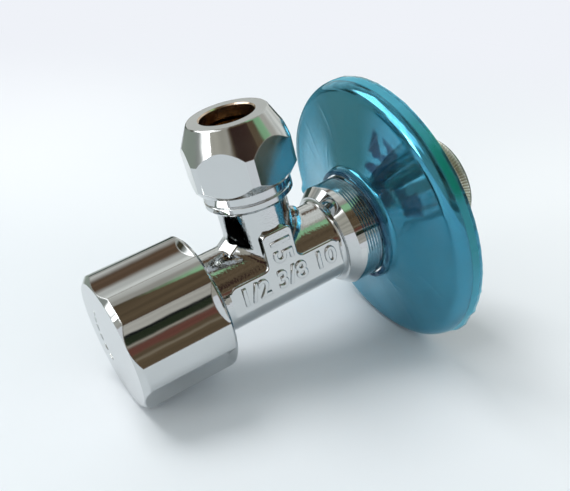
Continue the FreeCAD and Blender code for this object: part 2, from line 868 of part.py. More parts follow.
def build():
    """Every piece by its name."""
    outs = oring_outs()
    return {
        "valve_body": valve_body(),
        "bonnet": bonnet(),
        "bonnet_gasket": bonnet_gasket(),
        "thrust_ring": thrust_ring(),
        "spindle": spindle(),
        "spindle_seal_inner": spindle_seal(outs[0]),
        "spindle_seal_outer": spindle_seal(outs[1]),
        "retaining_clip": retaining_clip(),
        "plunger": plunger(),
        "seat_washer": seat_washer(),
        "washer_screw": washer_screw(),
        "knob_shell": knob_shell(),
        "knob_core": knob_core(),
        "grip_ring": grip_ring(),
        "olive": olive(),
        "compression_nut": compression_nut(),
        "escutcheon": escutcheon(),
        "protective_film": protective_film(),
    }


os.makedirs("parts", exist_ok=True)
check_fits()
for name, shape in build().items():
    if shape.ShapeType != "Solid" and len(shape.Solids) == 1:
        shape = shape.Solids[0]
    box = shape.BoundBox
    print(name, shape.ShapeType, len(shape.Solids), shape.isValid(), round(shape.Volume, 2),
          [round(value, 2) for value in (box.XMin, box.YMin, box.ZMin, box.XMax, box.YMax, box.ZMax)])
    shape.exportStep("parts/" + name + ".step")
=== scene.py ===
"""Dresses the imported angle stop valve: chromed brass, bare brass inside, blue film on the wall plate.

Sizes in the dataclasses are in millimetres, or in metres where a name ends in _m. Meshes are in metres.
The frame is the part's own: +Y runs into the wall, -Y towards the knob, +Z up along the outlet.
"""
import logging
import math
from dataclasses import dataclass
from enum import Enum

import bmesh
import bpy
import numpy as np
from mathutils import Matrix, Vector


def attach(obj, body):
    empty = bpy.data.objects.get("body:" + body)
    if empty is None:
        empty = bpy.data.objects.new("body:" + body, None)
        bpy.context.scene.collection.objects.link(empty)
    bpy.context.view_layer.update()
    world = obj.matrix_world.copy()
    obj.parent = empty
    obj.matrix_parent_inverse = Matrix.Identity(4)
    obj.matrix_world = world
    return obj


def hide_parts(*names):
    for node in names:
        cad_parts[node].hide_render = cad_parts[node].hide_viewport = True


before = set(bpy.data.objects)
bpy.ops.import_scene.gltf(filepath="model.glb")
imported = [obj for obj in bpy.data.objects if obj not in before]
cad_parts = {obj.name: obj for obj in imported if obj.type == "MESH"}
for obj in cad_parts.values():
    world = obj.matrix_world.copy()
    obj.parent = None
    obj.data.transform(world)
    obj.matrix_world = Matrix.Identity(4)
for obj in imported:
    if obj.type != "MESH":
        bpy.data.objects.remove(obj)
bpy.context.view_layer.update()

Socket = bpy.types.NodeSocket
Array = np.ndarray
LOG = logging.getLogger("valve")
MM = 0.001
SENSOR_MM = 36.0
OUTLET_Y = -28.8


# Colour and nodes

def linear(code: str) -> tuple[float, float, float, float]:
    """Turn an sRGB hex code into linear RGBA.

    Args:
        code: six hex digits.

    Returns:
        Linear red, green, blue and an alpha of one.
    """
    channels = [int(code[i:i + 2], 16) / 255 for i in (0, 2, 4)]
    low = [c / 12.92 if c <= 0.04045 else ((c + 0.055) / 1.055) ** 2.4 for c in channels]
    return low[0], low[1], low[2], 1.0


class Nodes:
    """The node tree of one material or world."""

    SETTINGS = {"MapRange": {"interpolation_type": "SMOOTHSTEP"}, "Mix": {"data_type": "RGBA"}}

    def __init__(self, owner: bpy.types.Material | bpy.types.World) -> None:
        """Empty the owner's tree.

        Args:
            owner: the material or world.
        """
        owner.use_nodes = True
        self.tree = owner.node_tree
        self.tree.nodes.clear()

    def add(self, kind: str, inputs: dict | tuple = (), out: int | str = 0,
            **settings: object) -> Socket | None:
        """Add one node with its settings and links.

        Args:
            kind: the node's type without ShaderNode and, after a point, its operation if it has one.
            inputs: sockets or plain values for its inputs, in order or by name or number.
            out: which output is wanted.
            settings: its other properties. Ranges are smooth and mixes are of colours without being told.

        Returns:
            That output. Its node is the new one.
        """
        kind, _, operation = kind.partition(".")
        node = self.tree.nodes.new("ShaderNode" + kind)
        if operation:
            settings["operation"] = operation
        for name, value in (self.SETTINGS.get(kind, {}) | settings).items():
            setattr(node, name, value)
        for key, value in (inputs if isinstance(inputs, dict) else dict(enumerate(inputs))).items():
            if isinstance(value, Socket):
                self.tree.links.new(value, node.inputs[key])
            else:
                node.inputs[key].default_value = value
        return node.outputs[out] if node.outputs else None

    def wave(self, distance: Socket, length_mm: float) -> Socket:
        """A sine wave of a distance in metres."""
        turns = self.add("Math.MULTIPLY", (distance, 2 * math.pi / (length_mm * MM)))
        return self.add("Math.SINE", (turns,))


class Surface(Nodes):
    """A new material's nodes."""

    def __init__(self, name: str) -> None:
        """Make the material and the Object coordinate that its patterns follow.

        Args:
            name: the material's name.
        """
        self.material = bpy.data.materials.new(name)
        super().__init__(self.material)
        self.place = self.add("TexCoord", out="Object")

    def blotched(self, pattern: Socket, low: float, high: float, first: str, second: str) -> Socket:
        """Change from one colour to another with a pattern.

        Args:
            pattern: the pattern's value.
            low: the value up to which the first colour is whole.
            high: the value from which the second colour is whole.
            first: the first colour's hex code.
            second: the second colour's.

        Returns:
            The colour's socket.
        """
        share = self.add("MapRange", (pattern, low, high))
        return self.add("Mix", {0: share, 6: linear(first), 7: linear(second)}, 2)

    def finish(self, shader: Socket) -> bpy.types.Material:
        """Send a shader to the output and return the material."""
        self.add("OutputMaterial", (shader,))
        return self.material


# Finishes

class MetalSurface(Enum):
    """How a chromed surface was made before it was plated."""

    PLAIN = "plain"
    TURNED = "turned"
    KNURLED = "knurled"
    FORGED = "forged"
    MOULDED = "moulded"
    PRESSED = "pressed"


@dataclass(frozen=True)
class Chrome:
    """Bright nickel and chrome plating. It gives a cool mirror, darker than silver."""

    name: str
    surface: MetalSurface
    colour: str = "c9cccd"
    smeared: str = "a6a49e"
    roughness: float = 0.035
    smears_per_m: float = 120.0
    smear_share: float = 0.06
    smear_rougher: float = 1.9
    bump_mm: float = 0.0
    bump_pitch_mm: float = 1.0
    edge_mm: float = 0.0
    rings_from_y_mm: tuple[float, float] = (-13.2, -9.7)
    knurls_round: float = 102.0

    def build(self) -> bpy.types.Material:
        """Make the metal. Its bump follows how the surface was made.

        Returns:
            The material.
        """
        surface = Surface(self.name)
        smear = surface.add("TexNoise", {"Vector": surface.place, "Scale": self.smears_per_m, "Detail": 3.0})
        tint = surface.add("MapRange", (smear, 0.3, 0.7, 0.0, self.smear_share))
        colour = surface.add("Mix", {0: tint, 6: linear(self.colour), 7: linear(self.smeared)}, 2)
        roughest = self.roughness * self.smear_rougher
        rough = surface.add("MapRange", (smear, 0.35, 0.75, self.roughness, roughest))
        relief = {"Height": self.height(surface), "Strength": 1.0, "Distance": self.bump_mm * MM}
        if self.edge_mm:
            relief["Normal"] = surface.add("Bevel", {"Radius": self.edge_mm * MM}, samples=6)
        return surface.finish(surface.add("BsdfPrincipled", {
            "Base Color": colour, "Metallic": 1.0, "Roughness": rough, "Normal": surface.add("Bump", relief)}))

    def height(self, surface: Surface) -> Socket:
        """Work out how high the bump is.

        A turned surface has rings across the inlet axis, which fade out towards the knob. A knurled one, such
        as a thread roughened to hold hemp, has fine slanting notches round that axis. Every other one is
        lightly uneven, and a forged one is uneven at a smaller scale.

        Args:
            surface: the material's nodes.

        Returns:
            The height's socket.
        """
        per_m = 1 / (self.bump_pitch_mm * MM)
        if self.surface not in (MetalSurface.TURNED, MetalSurface.KNURLED):
            return surface.add("TexNoise", {"Vector": surface.place, "Scale": per_m, "Detail": 1.5,
                                            "Roughness": 0.45})
        x, y, z = surface.add("SeparateXYZ", (surface.place,)).node.outputs
        if self.surface is MetalSurface.TURNED:
            near = surface.add("MapRange", (y, *(edge * MM for edge in self.rings_from_y_mm)))
            return surface.add("Math.MULTIPLY", (surface.wave(y, self.bump_pitch_mm), near))
        turn = surface.add("Math.ARCTAN2", (x, z))
        slant = surface.add("Math.MULTIPLY", (y, per_m))
        return surface.add("Math.SINE", (surface.add("Math.MULTIPLY_ADD", (turn, self.knurls_round, slant)),))


@dataclass(frozen=True)
class BareMetal:
    """Cut brass or spring steel, with the fine rings that a lathe tool leaves."""

    name: str
    colour: str
    dark: str
    roughness: float
    stains_per_m: float = 240.0
    stain_rougher: float = 1.6
    ring_pitch_mm: float = 0.22
    ring_mm: float = 0.01

    def build(self) -> bpy.types.Material:
        """Make the metal.

        Returns:
            The material.
        """
        surface = Surface(self.name)
        stain = surface.add("TexNoise", {"Vector": surface.place, "Scale": self.stains_per_m, "Detail": 4.0})
        rings = surface.wave(surface.add("VectorMath.LENGTH", (surface.place,), 1), self.ring_pitch_mm)
        roughest = self.roughness * self.stain_rougher
        return surface.finish(surface.add("BsdfPrincipled", {
            "Base Color": surface.blotched(stain, 0.4, 0.75, self.colour, self.dark), "Metallic": 1.0,
            "Roughness": surface.add("MapRange", (stain, 0.3, 0.8, self.roughness, roughest)),
            "Normal": surface.add("Bump", {"Height": rings, "Strength": 0.35, "Distance": self.ring_mm * MM})}))


@dataclass(frozen=True)
class Plastic:
    """Moulded plastic, rubber or pressed fibre: a dull skin with a fine grain."""

    name: str
    colour: str
    shade: str
    roughness: float
    specular: float = 0.5
    mottles_per_m: float = 180.0
    grain_mm: float = 0.15
    grain_relief_mm: float = 0.02

    def build(self) -> bpy.types.Material:
        """Make the plastic.

        Returns:
            The material.
        """
        surface = Surface(self.name)
        per_m = 1 / (self.grain_mm * MM)
        grain = surface.add("TexNoise", {"Vector": surface.place, "Scale": per_m, "Detail": 3.0})
        mottle = surface.add("TexNoise", {"Vector": surface.place, "Scale": self.mottles_per_m, "Detail": 2.0})
        bump = surface.add("Bump", {"Height": grain, "Strength": 0.5, "Distance": self.grain_relief_mm * MM})
        return surface.finish(surface.add("BsdfPrincipled", {
            "Base Color": surface.blotched(mottle, 0.35, 0.7, self.colour, self.shade),
            "Roughness": self.roughness, "Specular IOR Level": self.specular, "Normal": bump}))


class PlateSurface(Surface):
    """A new material's nodes, which know where a point lies on the wall plate."""

    def __init__(self, name: str) -> None:
        """Work out the place across the plate's axis, the distance from that axis and the one from the wall.

        Args:
            name: the material's name.
        """
        super().__init__(name)
        x, y, z = self.add("SeparateXYZ", (self.place,)).node.outputs
        self.across = self.add("CombineXYZ", (x, 0.0, z))
        self.reach = self.add("VectorMath.LENGTH", (self.across,), 1)
        self.out = self.add("Math.MULTIPLY", (y, -1.0))

    def sector(self, degrees: float, cosines: tuple[float, float], levels: tuple[float, float]) -> Socket:
        """A level that changes towards one side of the plate.

        Args:
            degrees: the side's direction, from +X towards +Z.
            cosines: of the angles to that direction at which the change starts and ends.
            levels: the level away from that side and on it.

        Returns:
            The level's socket.
        """
        side = (math.cos(math.radians(degrees)), 0.0, math.sin(math.radians(degrees)))
        beside = self.add("VectorMath.DOT_PRODUCT", (self.across, side), 1)
        return self.add("MapRange", (self.add("Math.DIVIDE", (beside, self.reach)), *cosines, *levels))

    def between(self, distance: Socket, edges_mm: tuple[float, float, float, float]) -> Socket:
        """One within a range of a distance and zero outside, with soft edges.

        Args:
            distance: the distance in metres.
            edges_mm: where it starts to rise, is whole, starts to fall and is gone.

        Returns:
            The level's socket.
        """
        start, whole, fall, gone = (edge * MM for edge in edges_mm)
        rise = self.add("MapRange", (distance, start, whole))
        return self.add("Math.MULTIPLY", (rise, self.add("MapRange", (distance, fall, gone, 1.0, 0.0))))


@dataclass(frozen=True)
class ReflectionSpot:
    """A place where a dark reflection of the valve is painted on the film: its direction, the cosine of its
    half width and its reach.
    """

    degrees: float
    cosine: float
    start_mm: float
    end_mm: float


@dataclass(frozen=True)
class BlueFilm:
    """Polyethylene surface-protection film. It is clear, blue and glossy, with a thin haze.

    Where it is gathered round the plate's skirt it lies double in a band. On one side the band is painted
    greener and darker as a reflection, and elsewhere it is paler blue, where air lies under it. A dark line
    painted round the hub stands in for the shadow in the gap there. High up on the near side it has less haze,
    so it reads clearer and darker, but for a few places painted darker blue as reflections of the valve.
    """

    name: str = "polyethylene_film"
    colour: str = "98e2f5"
    deep: str = "84d8ee"
    haze: str = "62b8d2"
    # Partly the doubled film, partly a painted reflection: the greener, darker colour on one side of the band.
    gathered: str = "1f9480"
    airy: str = "5cbbd4"
    # Painted shadow: the navy line in the gap round the hub.
    painted_hub_shadow: str = "1c4a72"
    # Painted reflection: the darker blue where the valve is mirrored on the face.
    painted_reflection: str = "2a7fa6"
    ior: float = 1.38
    roughness: float = 0.025
    patches_per_m: float = 55.0
    grains_per_m: float = 900.0
    grain_mm: float = 0.004
    rags_per_m: float = 260.0
    haze_share: tuple[float, float] = (0.1, 0.26)
    clear_degrees: float = 58.0
    clear_cosines: tuple[float, float] = (0.35, 0.85)
    clear_share: float = 0.3
    gathered_share: float = 0.55
    gathered_from_mm: tuple[float, float] = (27.0, 27.6)
    gathered_out_mm: tuple[float, float, float, float] = (0.5, 0.9, 2.1, 2.7)
    # The side where the band's painted reflection turns greener.
    green_reflection_degrees: float = 24.0
    green_reflection_cosines: tuple[float, float] = (0.78, 0.92)
    # How much of the painted hub shadow shows, and how far from the axis it lies.
    hub_shadow_share: float = 0.42
    hub_shadow_within_mm: tuple[float, float] = (11.35, 11.75)
    # Soft edges and places of the painted reflections of the valve.
    reflection_soft_mm: tuple[float, float] = (0.8, 1.2)
    reflection_soft_cosine: float = 0.012
    reflection_spots: tuple[ReflectionSpot, ...] = (ReflectionSpot(57.0, 0.986, 14.5, 21.5), ReflectionSpot(28.0, 0.989, 16.5, 20.5),
                                   ReflectionSpot(42.0, 0.98, 12.6, 14.2))

    def build(self) -> bpy.types.Material:
        """Make the film.

        Returns:
            The material.
        """
        film = PlateSurface(self.name)
        patches = film.add("TexNoise", {"Vector": film.place, "Scale": self.patches_per_m, "Detail": 3.0})
        grain = film.add("TexNoise", {"Vector": film.place, "Scale": self.grains_per_m, "Detail": 2.0})
        bump = film.add("Bump", {"Height": grain, "Strength": 0.4, "Distance": self.grain_mm * MM})
        even = film.blotched(patches, 0.35, 0.7, self.colour, self.deep)
        # The clear film's colour is painted darker blue where the valve's reflection falls on the face.
        clear = film.add("BsdfPrincipled", {
            "Base Color": film.add("Mix", {0: self.painted_reflections(film), 6: even, 7: linear(self.painted_reflection)}, 2),
            "Transmission Weight": 1.0, "IOR": self.ior, "Normal": bump,
            "Roughness": film.add("MapRange", (patches, 0.3, 0.8, self.roughness, self.roughness * 2))})
        skirt = film.add("MapRange", (film.reach, *(edge * MM for edge in self.gathered_from_mm)))
        band = film.add("Math.MULTIPLY", (skirt, film.between(film.out, self.gathered_out_mm)))
        # A painted shadow line round the hub.
        hub_shadow_mask = film.add("MapRange", (film.reach, *(edge * MM for edge in self.hub_shadow_within_mm), 1.0, 0.0))
        dull = film.add("BsdfDiffuse", {"Color": self.tint(film, patches, band, hub_shadow_mask), "Normal": bump})
        # Less haze high up on the near side, so the film reads clearer and darker there.
        near = film.sector(self.clear_degrees, self.clear_cosines, (1.0, self.clear_share))
        share = film.add("Math.MULTIPLY", (film.add("MapRange", (patches, 0.4, 0.62, *self.haze_share)), near))
        for part, most in ((band, self.gathered_share), (hub_shadow_mask, self.hub_shadow_share)):
            share = film.add("Math.MAXIMUM", (share, film.add("Math.MULTIPLY", (part, most))))
        return film.finish(film.add("MixShader", (share, clear, dull)))

    def tint(self, film: PlateSurface, patches: Socket, band: Socket, hub_shadow_mask: Socket) -> Socket:
        """Colour the dull part of the film.

        Args:
            film: the material's nodes.
            patches: the uneven pattern.
            band: one on the band where it lies double.
            hub_shadow_mask: one on the line round the hub where the gap's shadow is painted.

        Returns:
            The colour's socket.
        """
        # The band's greener, darker side is a painted reflection.
        side = film.sector(self.green_reflection_degrees, self.green_reflection_cosines, (0.0, 1.0))
        green_reflection_mask = film.add("Math.MULTIPLY", (side, film.add("MapRange", (patches, 0.44, 0.6, 1.0, 0.35))))
        double = film.add("Mix", {0: green_reflection_mask, 6: linear(self.airy), 7: linear(self.gathered)}, 2)
        hazy = film.add("Mix", {0: band, 6: linear(self.haze), 7: double}, 2)
        return film.add("Mix", {0: hub_shadow_mask, 6: hazy, 7: linear(self.painted_hub_shadow)}, 2)

    def painted_reflections(self, film: PlateSurface) -> Socket:
        """One where the valve's dark reflections are painted on, with ragged edges, zero elsewhere.

        Args:
            film: the material's nodes.

        Returns:
            The level's socket.
        """
        painted_reflections = 0.0
        rise, fall = self.reflection_soft_mm
        for reflection_spot in self.reflection_spots:
            cosines = (reflection_spot.cosine - self.reflection_soft_cosine, reflection_spot.cosine)
            side = film.sector(reflection_spot.degrees, cosines, (0.0, 1.0))
            edges = (reflection_spot.start_mm - rise, reflection_spot.start_mm, reflection_spot.end_mm, reflection_spot.end_mm + fall)
            spot = film.add("Math.MULTIPLY", (side, film.between(film.reach, edges)))
            painted_reflections = film.add("Math.MAXIMUM", (painted_reflections, spot))
        rags = film.add("TexNoise", {"Vector": film.place, "Scale": self.rags_per_m, "Detail": 2.0})
        return film.add("Math.MULTIPLY", (painted_reflections, film.add("MapRange", (rags, 0.38, 0.48))))


class Finishes:
    """Every material of the valve, made once."""

    def __init__(self) -> None:
        """Make the materials."""
        # A mirror broken by fine rings, drawn coarser than a lathe's feed so that they show, with lit edges.
        self.turned = Chrome("chromed_brass_turned", MetalSurface.TURNED, bump_mm=0.008, bump_pitch_mm=0.6,
                             edge_mm=0.2).build()
        # A slightly dull mirror that glints along each crest.
        self.thread = Chrome("chromed_brass_thread", MetalSurface.PLAIN, roughness=0.07, bump_mm=0.006,
                             bump_pitch_mm=0.6).build()
        # A pale, grainy shine without clear reflections.
        self.knurled = Chrome("chromed_brass_knurled", MetalSurface.KNURLED, colour="dee1d5", roughness=0.17,
                              bump_mm=0.03, bump_pitch_mm=0.8).build()
        # A mirror with ragged edges to what it reflects.
        self.forged = Chrome("chromed_brass_forged", MetalSurface.FORGED, roughness=0.05, bump_mm=0.02,
                             bump_pitch_mm=0.42).build()
        # A satin mirror with soft edges to what it reflects.
        self.nut = Chrome("chromed_brass_nut", MetalSurface.PLAIN, roughness=0.085, bump_mm=0.012,
                          bump_pitch_mm=3.0, edge_mm=0.22).build()
        # A clean mirror, wavy as moulded plastic is, with lit edges.
        self.knob = Chrome("chromed_abs_knob", MetalSurface.MOULDED, bump_mm=0.02, bump_pitch_mm=4.5,
                           edge_mm=0.3).build()
        # The clearest mirror, with long slight waves.
        self.plate = Chrome("chromed_sheet", MetalSurface.PRESSED, roughness=0.03, bump_mm=0.02,
                            bump_pitch_mm=6.0).build()
        # Thinly plated brass shines brown-grey in the nut, and bare brass dull yellow.
        self.bored = BareMetal("bored_brass", "e2cdb8", "a08a76", 0.15).build()
        self.brass = BareMetal("machined_brass", "c09a62", "8a6238", 0.2).build()
        self.steel = BareMetal("spring_steel", "a9aaab", "7c7b79", 0.25).build()
        # Rubber is dull black, fibre dull red-brown, acetal waxy white and the knob's core plain dark grey.
        self.rubber = Plastic("nitrile_rubber", "161616", "242424", 0.55, specular=0.35).build()
        self.fibre = Plastic("vulcanised_fibre", "7a2f22", "5e2219", 0.6).build()
        self.ring = Plastic("acetal_ring", "d9d6cc", "c8c5ba", 0.35).build()
        self.core = Plastic("abs_core", "26272a", "1c1d20", 0.4).build()
        self.film = BlueFilm().build()


@dataclass(frozen=True)
class SubAssembly:
    """A part of the valve that makes its own pieces with the valve's finishes."""

    finishes: Finishes


# Mesh helpers

def linked(name: str, data: bpy.types.ID) -> bpy.types.Object:
    """Make an object and link it to the scene.

    Args:
        name: the object's name.
        data: its mesh, curve, light or camera.

    Returns:
        The object.
    """
    made = bpy.data.objects.new(name, data)
    bpy.context.scene.collection.objects.link(made)
    return made


def read(rows: bpy.types.bpy_prop_collection, name: str, width: int, kind: type = float) -> Array:
    """Read one property of every row of a mesh.

    Args:
        rows: the mesh's vertices, corners, normals or faces.
        name: the property's name.
        width: how many numbers it has.
        kind: the numbers' type.

    Returns:
        An array with a line for each row.
    """
    flat = np.empty(len(rows) * width, kind)
    rows.foreach_get(name, flat)
    return flat.reshape(-1, width)


def mesh_object(name: str, points: Array, faces: list, material: bpy.types.Material,
                sharp_degrees: float = 40.0) -> bpy.types.Object:
    """Make a welded, smooth-shaded mesh object.

    Args:
        name: the piece's name.
        points: rows of x, y and z in millimetres.
        faces: index lists.
        material: the finish.
        sharp_degrees: edges over this angle stay sharp.

    Returns:
        The linked object.
    """
    mesh = bpy.data.meshes.new(name)
    mesh.from_pydata((points * MM).tolist(), [], faces)
    work = bmesh.new()
    work.from_mesh(mesh)
    bmesh.ops.remove_doubles(work, verts=work.verts, dist=1e-7)
    bmesh.ops.dissolve_degenerate(work, dist=1e-7, edges=work.edges)
    bmesh.ops.recalc_face_normals(work, faces=work.faces)
    work.to_mesh(mesh)
    work.free()
    mesh.shade_smooth()
    mesh.set_sharp_from_angle(angle=math.radians(sharp_degrees))
    mesh.materials.append(material)
    return linked(name, mesh)


def grid_faces(rows: int, columns: int, start: int = 0, wrap: bool = True) -> Array:
    """Make the quads of a grid of points.

    Args:
        rows: how many rows of points.
        columns: how many points in a row.
        start: the index of the first point.
        wrap: whether the last column joins the first.

    Returns:
        An array of quads.
    """
    row = np.arange(rows - 1)[:, None]
    column = np.arange(columns if wrap else columns - 1)[None, :]
    after = (column + 1) % columns
    low, high = row * columns, (row + 1) * columns
    quads = np.stack([low + column, low + after, high + after, high + column], axis=-1)
    return quads.reshape(-1, 4) + start


def welded(node: bpy.types.Object) -> tuple[Array, Array, Array]:
    """Read a CAD node's mesh and merge its doubles.

    Args:
        node: the CAD node.

    Returns:
        Points in millimetres, triangles and one normal for each corner of each triangle.
    """
    raw = read(node.data.vertices, "co", 3)
    corners = read(node.data.loops, "vertex_index", 1, np.int32)
    normals = read(node.data.corner_normals, "vector", 3)
    keys = np.round(raw / 1e-7).astype(np.int64)
    _, first, back = np.unique(keys, axis=0, return_index=True, return_inverse=True)
    faces = back.reshape(-1)[corners].reshape(-1, 3)
    keep = (faces[:, 0] != faces[:, 1]) & (faces[:, 1] != faces[:, 2]) & (faces[:, 0] != faces[:, 2])
    return raw[first] / MM, faces[keep], normals.reshape(-1, 3, 3)[keep]


def dressed(name: str, points: Array, faces: Array, normals: Array,
            materials: list[bpy.types.Material], zones: Array) -> bpy.types.Object:
    """Make an object from a CAD node's own triangles and normals.

    Args:
        name: the piece's name.
        points: its points in millimetres.
        faces: its triangles.
        normals: one normal for each corner of each triangle.
        materials: its finishes.
        zones: which finish each triangle takes.

    Returns:
        The linked object.
    """
    mesh = bpy.data.meshes.new(name)
    mesh.from_pydata((points * MM).tolist(), [], faces.tolist())
    mesh.shade_smooth()
    mesh.normals_split_custom_set(normals.reshape(-1, 3).tolist())
    for material in materials:
        mesh.materials.append(material)
    mesh.polygons.foreach_set("material_index", zones.astype(np.int32))
    return linked(name, mesh)


def in_hollow(centre: Array, normal: Array, reach: float, axis: int, middle: float,
              sideways: float = 0.25, endways: float = 0.98) -> Array:
    """Find the faces round the hollow of a cup or a nut.

    A face lies there when it points towards the axis, or is near it and points neither away nor along it.

    Args:
        centre: the faces' centres in millimetres.
        normal: the faces' normals.
        reach: faces nearer the axis than this count as near it.
        axis: the axis the hollow runs along, 1 for Y or 2 for Z.
        middle: the hollow's place across the other of these two axes.
        sideways: the cosine over which a face points towards the axis or away from it.
        endways: the cosine over which it points along the axis.

    Returns:
        True for each face in the hollow.
    """
    other = 3 - axis
    first, second = centre[:, 0], centre[:, other] - middle
    away = np.hypot(first, second)
    facing = (normal[:, 0] * first + normal[:, other] * second) / np.maximum(away, 1e-6)
    return (facing < -sideways) | ((away < reach) & (facing < sideways) & (abs(normal[:, axis]) < endways))


# Body

@dataclass(frozen=True)
class PipeThread:
    """A male pipe thread as one closed sleeve. Its axis is +Y through the origin, or +Z at the outlet."""

    name: str
    major: float
    minor: float
    pitch: float
    start: float
    end: float
    chamfer: float
    upright: bool = False
    cut_off: float = 0.1
    under_root: float = 0.12
    lead_in_slope: float = 0.8
    steps_round: int = 144
    steps_pitch: int = 14

    def radius(self, angle: Array, along: Array) -> Array:
        """Work out the thread's radius.

        The phase is along over pitch less angle over a full turn. The form is a V with straight flanks, worked
        out as the arc sine of a wave, with a share of its height cut off at crest and root. The ends are held
        under a cone.

        Args:
            angle: angles round the axis.
            along: distances along it.

        Returns:
            The radii.
        """
        phase = (along / self.pitch - angle / (2 * math.pi)) % 1.0
        flank = np.arcsin(np.cos(2 * math.pi * phase)) / math.pi + 0.5
        form = np.clip((flank - self.cut_off) / (1 - 2 * self.cut_off), 0, 1)
        raw = self.minor + (self.major - self.minor) * form
        lead_out = self.major - self.chamfer + (self.end - along)
        lead_in = self.minor + self.lead_in_slope * (along - self.start)
        return np.minimum(raw, np.minimum(np.maximum(lead_out, self.minor), np.maximum(lead_in, self.minor)))

    def build(self, material: bpy.types.Material) -> bpy.types.Object:
        """Make the sleeve.

        Args:
            material: the thread's finish.

        Returns:
            The mesh object.
        """
        count = (int(math.ceil((self.end - self.start) / self.pitch)) + 2) * self.steps_round + 1
        turn = (np.arange(count) / self.steps_round)[:, None]
        part = (np.arange(self.steps_pitch + 1) / self.steps_pitch)[None, :]
        angle = turn * 2 * math.pi * np.ones_like(part)
        along = np.clip(self.start + self.pitch * (turn - 1 + part), self.start, self.end)
        ribbon = self.place(self.radius(angle, along), angle, along)
        faces = grid_faces(count, self.steps_pitch + 1, wrap=False).tolist()
        ring = np.arange(self.steps_round) * 2 * math.pi / self.steps_round
        core = np.full_like(ring, self.minor - self.under_root)
        ends = [np.full_like(ring, at) for at in (self.start, self.end)]
        rows = [(self.radius(ring, ends[0]), ends[0]), (core, ends[0]), (core, ends[1]),
                (self.radius(ring, ends[1]), ends[1])]
        inner = np.concatenate([self.place(radius, ring, at) for radius, at in rows])
        faces += grid_faces(len(rows), self.steps_round, start=len(ribbon)).tolist()
        return mesh_object(self.name, np.concatenate([ribbon, inner]), faces, material, 70.0)

    def place(self, radius: Array, angle: Array, along: Array) -> Array:
        """Turn cylinder coordinates into points.

        Args:
            radius: distances from the axis.
            angle: angles round it.
            along: distances along it.

        Returns:
            Rows of x, y and z.
        """
        across, up = radius * np.cos(angle), radius * np.sin(angle)
        points = [across, up + OUTLET_Y, along] if self.upright else [up, along, across]
        return np.stack(points, axis=-1).reshape(-1, 3)


